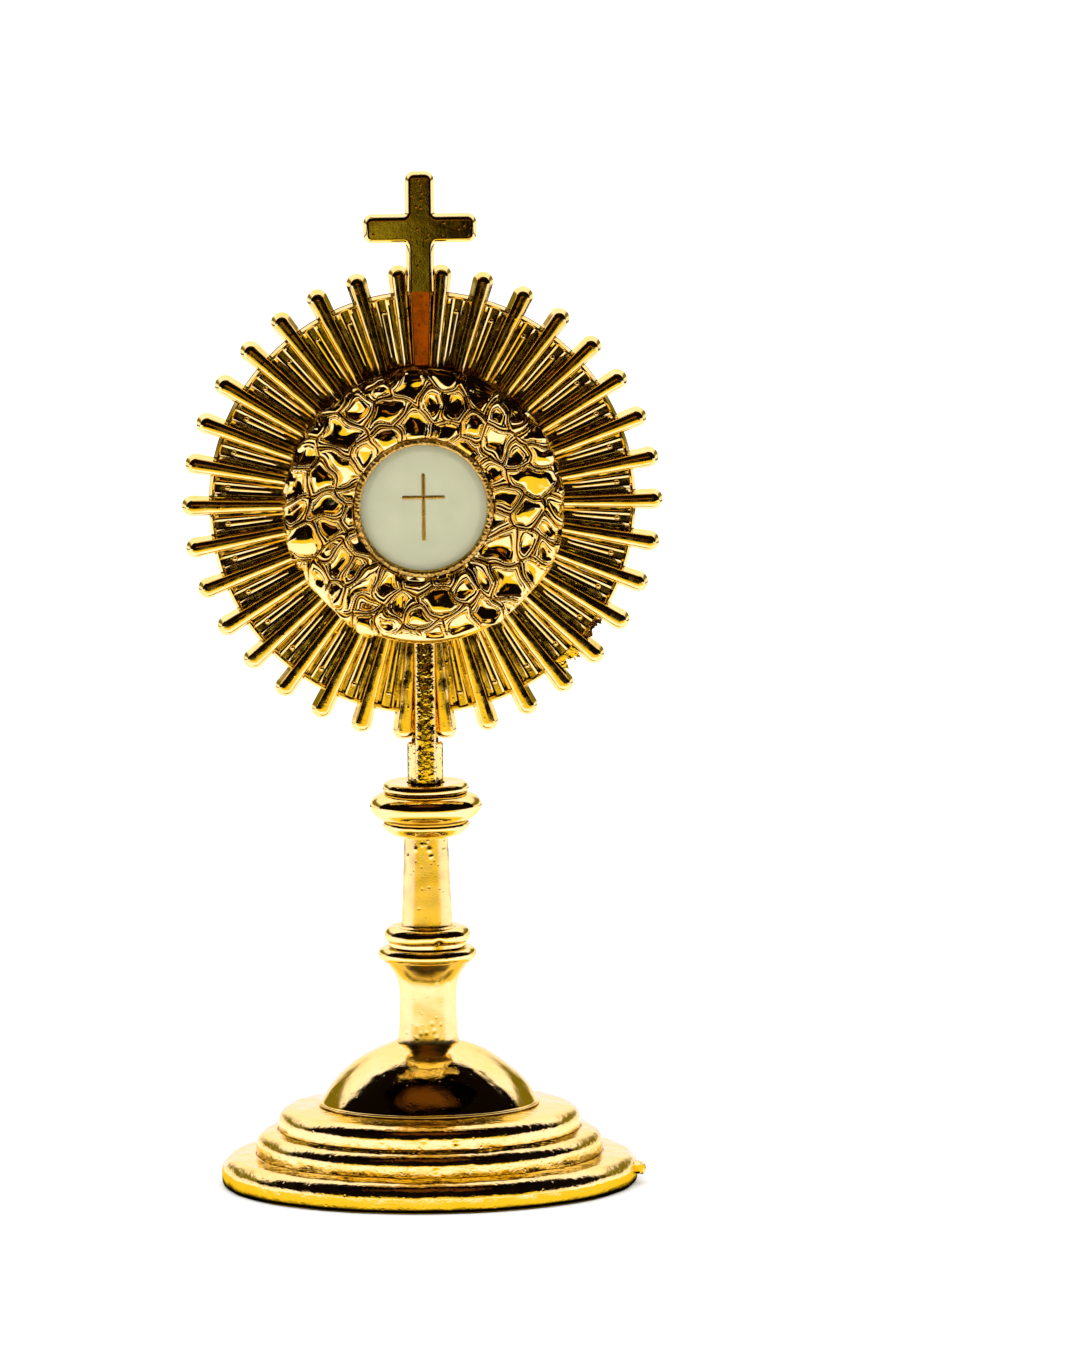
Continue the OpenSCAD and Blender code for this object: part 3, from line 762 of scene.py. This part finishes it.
def rays():
    """All the long rays: flat rough faces, wide bevels, round tips, each tilted a little."""
    levels = [(0.12, -0.75), (0.0, -0.6), (0.35, 0.4), (0.64, 1.38), (0.76, 1.74), (0.88, 1.98),
              (1.0, 2.12), (1.2, 2.22), (1.5, 2.28), (1.9, 2.32), (2.1, 2.33)]
    verts, faces = stacked([ray_loop(t, f) for t, f in levels])
    front, middle_r = verts[:, 2] > 1, 42
    shape = Shape()
    rng = np.random.default_rng(91)
    for i in range(RAY_COUNT):
        across, along = rng.normal(0, 0.004, 2)
        one = verts.copy()
        one[:, 2] += front * (verts[:, 0] * across + (verts[:, 1] - middle_r) * along * 0.5)
        shape.add(to_head(spin(one, (i + 0.5) * RAY_PITCH)), faces)
    roughen(piece("rays", shape, gilt_ray, "long_rays", sharp=40), 0.012, 2.5, 92)


def flash():
    """Torn flash that the mould left between the rays at the lower right."""
    rng = np.random.default_rng(71)
    half, points = 2.5, 13
    shape = Shape()
    for gap, reach in ((12, 1.8), (13, 3.6)):
        across = np.linspace(half, -half, points)
        torn = PLATE_R - 0.4 + reach * rng.uniform(0.15, 1.0, points) * (0.4 + 0.6 * np.abs(across) / half)
        outline = [(half, PLATE_R - 1.2)] + list(zip(across, torn)) + [(-half, PLATE_R - 1.2)]
        c, s = math.cos(gap * RAY_PITCH), math.sin(gap * RAY_PITCH)
        flat = np.array([(r * s + t * c, r * c - t * s) for t, r in outline])
        shape.add(*head_stacked([np.column_stack([flat, f + 0.12 * rng.normal(size=len(flat))])
                                 for f in (0.35, 1.0)]))
    piece("flash_web", shape, gilt_tang, "long_rays")


def spike():
    """The smooth tapered bar from the wreath to the cross, with one pimple."""
    levels = [(0.0, 0.9), (0.0, 4.3), (0.08, 4.95), (0.16, 5.1), (0.24, 5.13), (0.4, 5.13)]
    loops = bar_loops((1.75, 2.3), HEAD_Z + WREATH_R - 1.2, SEAM_Z, levels, 30, lean=0.72)
    obj = piece("spike", Shape().add(*stacked(loops)), gilt_burnished, "top_spike")
    roughen(obj, 0.008, 3.0, 95)
    dent(obj, [(0.7, -4.5, SEAM_Z - 9.5)], 0.35, -0.1, 96)


def cross_outline(inset):
    """Outline of the cross, clockwise from the lower left, with rounded corners."""
    half, arm_z = 3.25 - inset, 215.8
    reach, top = CROSS_HALF - inset, CROSS_TOP_Z - inset
    outer, inner = max(0.5, 2.1 - inset), 0.45 + inset
    lower_half = 3.15 - inset * 0.98
    points = [(-lower_half, SEAM_Z)]
    points += [(-lower_half, z) for z in np.linspace(SEAM_Z + 1.5, arm_z - half - inner - 0.5, 8)]
    points += arc((-half - inner, arm_z - half - inner), inner, 0, 90, 6)
    points += arc((-reach + outer, arm_z - half + outer), outer, 270, 180, 8)
    points += arc((-reach + outer, arm_z + half - outer), outer, 180, 90, 8)
    points += arc((-half - inner, arm_z + half + inner), inner, 270, 360, 6)
    points += arc((-half + outer, top - outer), outer, 180, 90, 8)
    mirrored = [(-x, z) for x, z in points[::-1]]
    return points + mirrored


def cross():
    """The cross: deep sides, a wide bevel all round, a flat face."""
    levels = [(0.25, 2.5), (0.0, 2.75), (0.0, 3.6), (0.04, 3.85), (0.4, 4.6), (0.8, 5.38), (0.88, 5.48),
              (1.1, 5.52), (1.3, 5.52)]
    loops = [level(cross_outline(inset), forward) - [0, HEAD_Z, 0] for inset, forward in levels]
    shape = Shape().add(*head_stacked(loops))
    obj = piece("cross", shape, gilt_bright, "cross_finial", sharp=30)
    roughen(obj, 0.003, 2.2, 99)


# ---- wreath ------------------------------------------------------------

def wreath_base():
    """The wreath's plain profile (radius, forward) and its outward normals, evenly spaced."""
    curve = np.array(smooth([(WINDOW_R, 9.35), (17.4, 9.7), (20.5, 9.85), (24.0, 9.85), (27.0, 9.75),
                             (29.0, 9.6), (29.95, 9.1), (30.35, 8.0), (30.35, 3.6)], 24))
    length = np.concatenate([[0], np.cumsum(np.linalg.norm(np.diff(curve, axis=0), axis=1))])
    along = np.linspace(0, length[-1], 150)
    points = np.stack([np.interp(along, length, curve[:, 0]), np.interp(along, length, curve[:, 1])], -1)
    tangent = np.gradient(points, axis=0)
    tangent /= np.linalg.norm(tangent, axis=1, keepdims=True)
    return points, np.stack([-tangent[:, 1], tangent[:, 0]], -1), along


def cloud_seeds(inner, outer, count, seed):
    """Evenly scattered seeded places in a ring, each with its own size, stretch and slant."""
    rng = np.random.default_rng(seed)
    tries = 26
    chosen = []
    while len(chosen) < count:
        r = np.sqrt(rng.uniform(inner ** 2, outer ** 2, tries))
        a = rng.uniform(0, 2 * math.pi, tries)
        candidates = np.stack([r * np.cos(a), r * np.sin(a)], -1)
        if chosen:
            gaps = np.linalg.norm(candidates[:, None] - np.array(chosen)[None], axis=2).min(1)
            chosen.append(candidates[int(np.argmax(gaps * rng.uniform(0.75, 1.0, tries)))])
        else:
            chosen.append(candidates[0])
    extra = {"size": rng.uniform(0.78, 1.25, count), "turn": rng.uniform(0, math.pi, count),
             "stretch": rng.uniform(0.72, 1.05, count), "dish": rng.choice([0.7, 1.0, 1.25, -0.45], count),
             "lift": rng.uniform(-0.35, 0.4, count), "slant": rng.normal(0, 0.1, (count, 2))}
    return np.array(chosen), extra


def cloud_height(flat, outer):
    """Height of the clouds: dished cells with round rims and grooves between them."""
    inner, count, warp = 15.9, 92, 0.34
    rim_at, rim_h, groove = 0.46, 0.85, 0.65
    furrow_at, furrow_width, furrow_depth = 0.74, 0.14, 0.3
    dished = (0.85, 1.45)
    seeds, extra = cloud_seeds(inner, outer, count, 7)
    warped = flat + warp * np.stack([field(flat, 3.6, 3), field(flat, 3.6, 4)], -1)
    distance = np.zeros((len(flat), count))
    for k, place in enumerate(seeds):
        offset = warped - place
        c, s = math.cos(extra["turn"][k]), math.sin(extra["turn"][k])
        along = (offset[:, 0] * c + offset[:, 1] * s) * extra["stretch"][k]
        across = (-offset[:, 0] * s + offset[:, 1] * c) / extra["stretch"][k]
        distance[:, k] = np.hypot(along, across) / extra["size"][k]
    order = np.argsort(distance, axis=1)[:, :2]
    first, second = np.take_along_axis(distance, order, axis=1).T
    cell = order[:, 0]
    edge = (second - first) / 2 * extra["size"][cell]
    rise = np.clip(edge / rim_at, 0, 1)
    rim = -groove + (rim_h + groove) * np.sqrt(1 - (1 - rise) ** 2)
    rim -= furrow_depth * np.exp(-((edge - furrow_at) / furrow_width) ** 2)
    share = first / (first + edge / extra["size"][cell] + 1e-6)
    dish = extra["dish"][cell] * (0.4 + 1.1 * (1 - share ** 2)) * ease(edge, *dished)
    slant = ((flat - seeds[cell]) * extra["slant"][cell]).sum(1)
    return rim - dish + extra["lift"][cell] + slant


def wreath():
    """The ring of clouds, which runs out in a plain band at its lowest edge, and its hollow back."""
    points, normals, along = wreath_base()
    steps = 1000
    angle = np.arange(steps) * 2 * math.pi / steps
    turn = np.stack([np.sin(angle), np.cos(angle)], -1)
    unrolled = points[0, 0] + along
    flat = (unrolled[:, None, None] * turn).reshape(-1, 2)
    height = cloud_height(flat, unrolled[-1] - 0.5).reshape(len(points), steps)
    wave = field(turn[:, ::-1] * 30, 9.0, 15) * 1.1
    plain_from = 13.2 + wave
    bottom = np.clip((-turn[:, 1] - 0.45) / 0.2, 0, 1)
    plain = bottom[None] * np.clip((along[:, None] - plain_from[None]) / 0.9, 0, 1)
    height = height * (1 - plain) + 0.25 * plain
    inner = np.clip(along / 0.7, 0, 1)[:, None]
    outer = np.clip((along[-1] - along) / 0.8, 0, 1)[:, None]
    height = height * inner * (0.75 + 0.25 * outer)
    r = np.minimum(points[:, 0:1] + normals[:, 0:1] * height, WREATH_R)
    f = points[:, 1:2] + normals[:, 1:2] * height
    rings = [np.column_stack([turn * r[k][:, None], f[k]]) for k in range(len(points))]
    rings += [level(turn * radius, forward)
              for radius, forward in ((30.7, 2.45), (29.9, 2.45), (27.0, 5.6), (23.0, 7.6), (18.4, 8.4),
                                      (WINDOW_R, 8.55))]
    shape = Shape().add(to_head(np.concatenate(rings)), grid_faces(len(rings), steps, wrap_rows=True))
    piece("cloud_wreath", shape, gilt_wreath, "wreath", sharp=70)


# ---- host chamber ------------------------------------------------------

def bezel():
    """The narrow ring round the window, with a grained face."""
    outline = [(15.05, 8.5), (15.6, 8.5), (15.62, 9.0)] + arc((15.35, 9.25), 0.27, 0, 90, 5)
    outline += arc((14.75, 9.3), (0.5, 0.36), 80, 175, 7) + [(14.2, 9.12), (15.05, 9.1)]
    shape = Shape().add(*head_turned(refine(outline, 0.16), 640))
    roughen(piece("window_bezel", shape, gilt_fine, "bezel"), 0.05, 0.42, 101)


def host():
    """Ivory disc with a shallow chamfered rim, and the plain cross on it."""
    back_f, front_f = 6.45, 7.44
    outline = [(0, back_f), (14.3, back_f), (14.5, 6.6), (14.5, 6.95)] + arc((14.2, 6.95), 0.3, 0, 80, 5)
    outline += smooth([(13.9, 7.28), (12.9, 7.42), (12.45, 7.45), (12.2, front_f)], 6)
    outline += [(8.0, front_f), (4.0, front_f), (0, front_f)]
    disc = Shape().add(*head_turned(outline, 160, ring=False))
    piece("host_wafer", disc, ivory_gloss, "host_disc", body="door")
    shape = Shape()
    for width, height, y in ((0.8, 15.2, 0), (9.6, 0.8, 2.2)):
        loops = []
        for inset, f in ((0, 7.42), (0, 7.56), (0.08, 7.63), (0.2, 7.65)):
            a, b = width / 2 - inset, height / 2 - inset
            r = min(a, b) * 0.98
            corners = [arc((sx * (a - r), y + sy * (b - r)), r, start, start + 90, 5)
                       for sx, sy, start in ((1, 1, 0), (-1, 1, 90), (-1, -1, 180), (1, -1, 270))]
            loops.append(level(sum(corners, []), f))
        shape.add(*head_stacked(loops))
    piece("host_cross", shape, gilt_fine, "host_emblem", body="door")


HINGE_X, HINGE_Y = -20.3, 3.4
KNUCKLE_H = 3.0
BUTTON_X = 21.4


def knuckle(z):
    """A rolled hinge knuckle round the upright pin."""
    half, pin_r, round_r = KNUCKLE_H / 2 - 0.02, 0.66, 0.24
    outline = [(pin_r, -half), (1.05, -half)] + arc((1.05, -half + round_r), round_r, -80, 0, 4)
    outline += [(1.22, 0)] + arc((1.05, half - round_r), round_r, 0, 80, 4) + [(1.05, half), (pin_r, half)]
    verts, faces = turned(outline, 40)
    return verts + [HINGE_X, HINGE_Y, HEAD_Z + z], faces


def block(x, forward, z):
    """A small block with softened edges between two x, two forward distances and two heights."""
    loops = []
    for share, inset in ((0, 0.16), (0.08, 0.04), (0.16, 0), (0.84, 0), (0.92, 0.04), (1, 0.16)):
        a, b, c, d = x[0] + inset, x[1] - inset, z[0] + inset, z[1] - inset
        f = forward[0] + (forward[1] - forward[0]) * share
        loops.append(np.array([[a, -f, c], [b, -f, c], [b, -f, d], [a, -f, d]]))
    verts, faces = stacked(loops)
    return verts + [0, 0, HEAD_Z], faces


def chamber():
    """Tube and rear flange of the host chamber, with its two hinge knuckles."""
    outline = [(17.2, -2.0), (17.2, 7.9), (14.3, 7.9), (14.3, 8.5), (18.1, 8.5), (18.2, 8.4), (18.2, -0.8),
               (22.7, -0.8), (22.95, -0.95), (23.0, -1.2), (22.9, -1.5), (22.55, -1.62), (22.2, -1.7),
               (22.05, -1.95), (21.8, -2.0), (19.2, -2.0), (19.0, -1.85), (18.8, -2.0)]
    shape = Shape().add(*head_turned(refine(outline, 0.6), 300))
    for side in (-1, 1):
        z = side * (KNUCKLE_H + 0.1)
        shape.add(*knuckle(z))
        shape.add(*block((HINGE_X - 1.1, HINGE_X + 1.1), (-3.3, -1.95), (z - 1.4, z + 1.4)))
    roughen(piece("chamber_shell", shape, gilt_bright, "capsule"), 0.01, 4.0, 111)


def door_frame():
    """Rear door: a moulded ring with a bead round the pane, and the middle knuckle."""
    outline = [(14.0, -2.1), (14.0, -2.9), (13.0, -2.9), (13.0, -3.5)]
    outline += arc((13.62, -3.55), 0.55, -178, -10, 10)
    outline += [(14.35, -3.5), (14.7, -3.42), (17.0, -3.42), (17.3, -3.58), (18.2, -3.6), (18.45, -3.52),
                (18.6, -3.3), (18.6, -2.2), (18.5, -2.1)]
    shape = Shape().add(*head_turned(refine(outline, 0.5), 300))
    shape.add(*knuckle(0))
    shape.add(*block((HINGE_X, -17.6), (-3.55, -2.15), (-1.42, 1.42)))
    roughen(piece("door_frame", shape, gilt_bright, "rear_door", body="door"), 0.01, 4.0, 112)


def luna():
    """The host's carrier on the door: a tube with a foot ring, a lip and two turned grooves."""
    tube_r = 15.1
    outline = [(13.2, -2.1), (13.2, -1.45), (13.35, -1.3), (14.55, -1.3), (14.55, 7.45), (14.2, 7.45),
               (14.2, 7.62), (14.28, 7.7), (15.0, 7.7), (tube_r, 7.6)]
    for groove_f in (5.9, 0.2):
        outline += [(tube_r, groove_f + 0.4), (14.98, groove_f + 0.3), (14.98, groove_f + 0.1),
                    (tube_r, groove_f)]
    outline += [(tube_r, -1.0), (15.3, -1.24), (15.85, -1.3), (16.0, -1.45), (16.0, -2.1)]
    shape = Shape().add(*head_turned(refine(outline, 0.6), 240))
    roughen(piece("luna_carrier", shape, gilt_bright, "luna_ring", body="door"), 0.008, 4.0, 113)


def knob():
    """The door's turned knob with a knurled edge."""
    knob_x, seat_f, knurled_from = 15.4, -3.45, 1.12
    outline = smooth([(0.95, seat_f), (0.9, -3.6), (0.62, -3.85), (0.55, -4.25), (0.68, -4.6),
                      (1.1, -4.8)], 4)
    outline += arc((0.72, -5.3), (0.52, 0.5), 60, -60, 10)
    outline += smooth([(0.9, -5.82), (0.5, -6.0), (0, -6.05)], 4)
    verts, faces = turned([(0, seat_f)] + outline, 96, ring=False)
    radius = np.hypot(verts[:, 0], verts[:, 1])
    knurl = 1 + 0.035 * np.cos(24 * np.arctan2(verts[:, 1], verts[:, 0])) * (radius > knurled_from)
    verts[:, :2] *= knurl[:, None]
    shape = Shape().add(to_head(verts, (knob_x, 0)), faces)
    piece("knob", shape, gilt_bright, "door_knob", body="door", sharp=60)


def stadium(half_l, radius, waist):
    """Outline of the turn-button's wing, a little narrower in the middle."""
    end = half_l - radius
    points = arc((0, end), radius, 0, 180, 14) + [(-radius + waist, 0)]
    points += arc((0, -end), radius, 180, 360, 14) + [(radius - waist, 0)]
    return points


def button():
    """The turn-button: a boss on the flange and a bevelled wing."""
    pivot, bore_r, reach, end_r, waist = (BUTTON_X, 0), 0.76, 4.2, 1.1, 0.12
    boss = [(bore_r, -2.06), (1.5, -2.06), (1.58, -2.2), (1.5, -3.5), (1.35, -3.7), (1.35, -4.0),
            (bore_r, -4.0)]
    levels = [(0.12, -3.82), (0, -3.92), (0, -4.4), (0.14, -4.62), (0.4, -4.76), (0.6, -4.79)]
    wing = [level(stadium(reach - inset, end_r - inset, waist), f) for inset, f in levels]
    shape = Shape().add(*head_turned(boss, 64, pivot))
    shape.add(*head_stacked(wing, pivot))
    piece("button_wing", shape, gilt_bright, "turn_button", body="button")


def slotted(place, radius, seat, height, shaft, turn):
    """A cheese-head screw with a slot: its head stands back from the seat."""
    depth = seat - height * 0.45
    half_slot = radius * 0.15
    profile = [(0, seat + 1.5), (shaft, seat + 1.5), (shaft, seat), (radius * 0.96, seat),
               (radius, seat - 0.08), (radius, depth), (0, depth)]
    shape = Shape().add(*turned(profile, 40, ring=False))
    for side in (0, math.pi):
        c, s = math.cos(turn + side), math.sin(turn + side)
        loops = []
        for share, f in ((1.0, depth + 0.02), (1.0, seat - height * 0.72), (0.93, seat - height * 0.9),
                         (0.78, seat - height)):
            r = radius * share
            reach = math.degrees(math.acos(half_slot / r))
            loops.append(level(np.array(arc((0, 0), r, -reach, reach, 18)) @ [[c, s], [-s, c]], f))
        shape.add(*stacked(loops))
    return to_head(shape.points(), place), shape.faces


def domed(place, radius, seat, height):
    """A hammered rivet head that stands back from the seat."""
    outline = [(0, seat + 1.0), (radius * 0.9, seat + 1.0), (radius * 0.98, seat)]
    outline += [(r, -f) for r, f in arc((0, -seat), (radius, height), 5, 90, 9)]
    return head_turned(outline, 40, place, ring=False)


def fastenings():
    """Slotted screws and rivet heads on the back."""
    diagonal = [np.array([math.cos(a), math.sin(a)]) for a in np.radians([45, 135, 225, 315])]
    flange = [(21.2 * way, 1.3, -2.0, 0.8, 0.7, 0.4 + 1.1 * k) for k, way in enumerate(diagonal)]
    strap = [((0, -r), 1.8, -2.6, 1.1, 0.9, turn) for r, turn in ((34.6, 0.3), (41.6, 1.2))]
    pivot = [((BUTTON_X, 0), 1.2, -4.82, 0.75, 0.7, 0.9)]
    wreath_rivets = [(26.2 * way, 1.8, PLATE_BACK_F, 0.9) for way in diagonal]
    spike_rivet = [((0, 40.0), 1.8, PLATE_BACK_F, 0.9)]
    for name, node, make, material, slot, heads in (
            ("flange_screws", "capsule_screws", slotted, steel, "steel", flange),
            ("strap_screws", "tang_screws", slotted, steel, "steel", strap),
            ("pivot_screw", "button_screw", slotted, steel, "steel", pivot),
            ("wreath_rivet_heads", "wreath_rivets", domed, raw_brass, "raw_brass", wreath_rivets),
            ("spike_rivet_head", "spike_rivet", domed, raw_brass, "raw_brass", spike_rivet)):
        shape = Shape()
        for head in heads:
            shape.add(*make(*head))
        piece(name, shape, material, node)


def carried_over():
    """CAD nodes whose own shape is right get their finished materials."""
    finishes = {
        raw_brass: ["clamp_plate"],
        steel: ["spring_washer", "base_nut", "tie_rod", "finial_pin", "hinge_pin", "luna_clip"],
        pane: ["front_glass", "door_glass"],
    }
    for material, nodes in finishes.items():
        for node in nodes:
            mesh = frame["nodes"][node].data
            mesh.materials.clear()
            mesh.materials.append(material)


# ---- studio ------------------------------------------------------------

CREAM = (1.35, 1.22, 2.0)
TAN = (1.1, 0.8, 0.07)
OLIVE = (0.22, 0.18, 0.014)
AMBER = (0.5, 0.18, 0.016)
BLACK = (0.0, 0.0, 0.0)
PALE_FLOOR = (1.36, 1.33, 2.3)


def fresh_tree(holder):
    """An empty node tree of a material or a world, and short calls to add and join its nodes."""
    holder.use_nodes = True
    holder.node_tree.nodes.clear()
    return holder.node_tree.nodes.new, holder.node_tree.links.new


def glow_material():
    """Glows in the colour that the sheet carries at each corner."""
    material = bpy.data.materials.new("glow")
    add, join = fresh_tree(material)
    carried = add("ShaderNodeAttribute")
    carried.attribute_name = "glow"
    glow = add("ShaderNodeEmission")
    out = add("ShaderNodeOutputMaterial")
    join(carried.outputs["Color"], glow.inputs["Color"])
    join(glow.outputs[0], out.inputs[0])
    return material


GLOW = glow_material()


def glowing(name, points, faces, colours):
    """A soft light that only the gold mirrors, with a brightness at each of its points."""
    mesh = new_mesh(name, points, faces, GLOW)
    carried = mesh.color_attributes.new("glow", "FLOAT_COLOR", "POINT")
    rgba = np.column_stack([colours, np.ones(len(points))])
    carried.data.foreach_set("color", rgba.astype(np.float32).ravel())
    obj = new_object(name, mesh)
    obj.visible_camera = False
    obj.visible_diffuse = False
    obj.visible_shadow = False


def sheet(corner, edge_u, edge_v, counts):
    """Points and faces of a flat sheet of counts[0] by counts[1] points."""
    u, v = np.meshgrid(np.linspace(0, 1, counts[0]), np.linspace(0, 1, counts[1]), indexing="ij")
    points = np.array(corner) + u[..., None] * np.array(edge_u) + v[..., None] * np.array(edge_v)
    return points.reshape(-1, 3), grid_faces(*counts, wrap_cols=False)


def card(name, corner, edge_u, edge_v, counts, colour):
    """A flat soft light. colour(points) gives its brightness at each place."""
    points, faces = sheet(corner, edge_u, edge_v, counts)
    glowing(name, points, faces, colour(points))


def even(colour):
    """The same brightness all over a card."""
    return lambda points: np.tile(colour, (len(points), 1))


def faded(colour, centre, reach):
    """A patch that is brightest at its centre and fades to nothing at its reach."""
    def shade(points):
        away = np.hypot((points[:, 0] - centre[0]) / reach[0], (points[:, 1] - centre[1]) / reach[1])
        return np.outer(1 - ease(away, 0.25, 1.0), colour)
    return shade


def bands(value, stops):
    """Colours blended between stops [(value, colour)]."""
    places = [stop[0] for stop in stops]
    return np.stack([np.interp(value, places, [stop[1][c] for stop in stops]) for c in range(3)], -1)


def floor_colour(points):
    """What the gold sees of the floor: a dark line of painted contact shadow at the foot, tan in front,
    pale further off.
    """
    x, y = points[:, 0], points[:, 1]
    from_foot = np.hypot(x, y)
    middle = bands(y, [(-0.66, BLACK), (-0.60, TAN), (-0.46, TAN), (-0.40, PALE_FLOOR), (0.0, PALE_FLOOR)])
    near = ease(-from_foot, -0.085, -0.07)[:, None]
    middle = middle * (1 - near) + np.array(TAN) * near
    side = (ease(np.abs(x), 0.3, 0.5) * ease(y, -1.0, -0.9))[:, None]
    # Painted shadow: the glow fades to black close round the foot, where the foot shades the floor.
    away = ease(from_foot, 0.0474, 0.0505)[:, None]
    return (middle * (1 - side) + np.array(PALE_FLOOR) * side) * away


def pale_floor():
    """The plain floor that the eye sees; the gold mirrors the floor's glow instead."""
    half = 14
    material = bpy.data.materials.new("pale_floor")
    material.use_nodes = True
    shader = material.node_tree.nodes["Principled BSDF"]
    shader.inputs["Base Color"].default_value = (0.86, 0.86, 0.85, 1)
    shader.inputs["Roughness"].default_value = 0.9
    shader.inputs["Specular IOR Level"].default_value = 0.0
    points, faces = sheet((-half, -half, 0), (2 * half, 0, 0), (0, 2 * half, 0), (2, 2))
    obj = new_object("pale_floor", new_mesh("pale_floor", points, faces, material))
    obj.visible_glossy = False


def room_light(name, centre, target, size, radiance):
    """A soft area light for floor and host, which the gold doesn't mirror."""
    light = bpy.data.lights.new(name, "AREA")
    light.shape = "RECTANGLE"
    light.size, light.size_y = size
    light.energy = radiance * math.pi * size[0] * size[1]
    obj = new_object(name, light)
    obj.location = centre
    obj.rotation_euler = (Vector(target) - Vector(centre)).to_track_quat("-Z", "Y").to_euler()
    obj.visible_camera = False
    obj.visible_glossy = False


def world():
    """White for the eye, the floor and the host, nearly black and a little warm for the gold."""
    w = bpy.data.worlds.new("studio")
    bpy.context.scene.world = w
    add, join = fresh_tree(w)
    ray = add("ShaderNodeLightPath")
    dark = add("ShaderNodeBackground")
    dark.inputs["Color"].default_value = (0.004, 0.0022, 0.0008, 1)
    white = add("ShaderNodeBackground")
    white.inputs["Color"].default_value = (1, 1, 1, 1)
    white.inputs["Strength"].default_value = 1.55
    mix = add("ShaderNodeMixShader")
    out = add("ShaderNodeOutputWorld")
    join(ray.outputs["Is Glossy Ray"], mix.inputs[0])
    join(white.outputs[0], mix.inputs[1])
    join(dark.outputs[0], mix.inputs[2])
    join(mix.outputs[0], out.inputs[0])


def low_wall():
    """The near edge of the table: tan in front, pale at the sides."""
    radius, low_z, high_z = 0.33, 0.001, 0.064
    around = np.radians(np.linspace(-115, 115, 93))
    flat = radius * np.stack([np.sin(around), -np.cos(around)], -1)
    rows = [level(flat, z) for z in (low_z, high_z)]
    share = ease(np.abs(np.degrees(around)), 55, 75)[:, None]
    colour = np.array(TAN) * (1 - share) + np.array(CREAM) * share
    glowing("low_wall", np.concatenate(rows), grid_faces(2, len(around), wrap_cols=False),
            np.concatenate([colour, colour]))


def back_shell():
    """The pale backdrop that curves round behind and over the object."""
    radius, reach, floor_z = 1.6, 72, 0.001
    centre = np.array([0, 0, 0.05])
    off_axis, around = np.meshgrid(np.radians(np.linspace(0, reach, 43)),
                                   np.linspace(0, 2 * math.pi, 96, endpoint=False), indexing="ij")
    points = np.stack([np.sin(off_axis) * np.cos(around), np.cos(off_axis),
                       np.sin(off_axis) * np.sin(around)], -1) * radius + centre
    points[..., 2] = np.maximum(points[..., 2], floor_z)
    edge = 62 + 2 * np.maximum(np.sin(around), 0) ** 2
    bright = 1 - ease(np.degrees(off_axis), edge, edge + 5)
    climb = np.degrees(np.arcsin(np.sin(off_axis) * np.sin(around)))
    across = np.degrees(off_axis) * np.abs(np.cos(around))
    skirting = (ease(climb, 4, 8) * (1 - ease(climb, 20, 28)) * ease(across, 14, 26))[..., None]
    colour = np.array(CREAM) * (1 - skirting) + np.array(OLIVE) * skirting
    glowing("back_shell", points.reshape(-1, 3), grid_faces(*off_axis.shape),
            (bright[..., None] * colour).reshape(-1, 3))


def studio():
    """The world, the floor, what the gold mirrors, and the light for floor and host."""
    world()
    pale_floor()
    card("floor_glow", (-1.6, -1.02, 0.0002), (3.2, 0, 0), (0, 2.3, 0), (161, 181), floor_colour)
    card("near_glow", (-0.07, -0.07, 0.0003), (0.14, 0, 0), (0, 0.14, 0), (141, 141), floor_colour)
    low_wall()
    back_shell()
    card("amber_card", (-0.1, -0.9, 0.13), (0.2, 0, 0), (0, 0, 0.045), (2, 2), even(AMBER))
    card("olive_card", (-0.01, -0.9, 0.066), (0.05, 0, 0), (0, 0, 0.034), (26, 2),
         faded((0.42, 0.35, 0.04), (0.01, -0.9), (0.022, 1.0)))
    card("brown_card", (-1.0, -1.1, 1.45), (1.9, 0, 0), (0, 1.1, 0), (39, 23),
         faded((0.13, 0.045, 0.008), (-0.05, -0.6), (0.9, 0.45)))
    room_light("key", (-0.9, -1.0, 1.3), (0, 0, 0.15), (0.9, 0.9), 2.0)
    bpy.context.scene.view_settings.view_transform = "Standard"


def camera():
    """A long lens in front, a little above, with the small roll of a hand-held camera."""
    elevation, azimuth, roll = math.radians(8.3), math.radians(-2.0), math.radians(0.62)
    lens, sensor, frame_height = 1000.0, 36.0, 0.3021
    aim_right, aim_up = 0.0246, 0.1135
    distance = lens * frame_height / sensor
    back = Vector((math.sin(azimuth) * math.cos(elevation), -math.cos(azimuth) * math.cos(elevation),
                   math.sin(elevation)))
    right = Vector((math.cos(azimuth), math.sin(azimuth), 0))
    up = back.cross(right)
    rolled_right = right * math.cos(roll) - up * math.sin(roll)
    rolled_up = up * math.cos(roll) + right * math.sin(roll)
    aim = rolled_right * aim_right + rolled_up * aim_up
    data = bpy.data.cameras.new("camera")
    data.lens = lens
    data.sensor_fit = "AUTO"
    data.sensor_width = sensor
    data.clip_start = 0.05
    data.clip_end = 100
    obj = new_object("camera", data)
    obj.matrix_world = Matrix([[rolled_right[i], rolled_up[i], back[i], aim[i] + back[i] * distance]
                               for i in range(3)] + [[0, 0, 0, 1]])
    bpy.context.scene.camera = obj


camera()
studio()
foot()
dome()
lower_column()
collar()
upper_column()
knop_rings()
knop_body()
tang()
plate()
rays()
flash()
spike()
cross()
wreath()
bezel()
host()
chamber()
door_frame()
luna()
knob()
button()
fastenings()
carried_over()
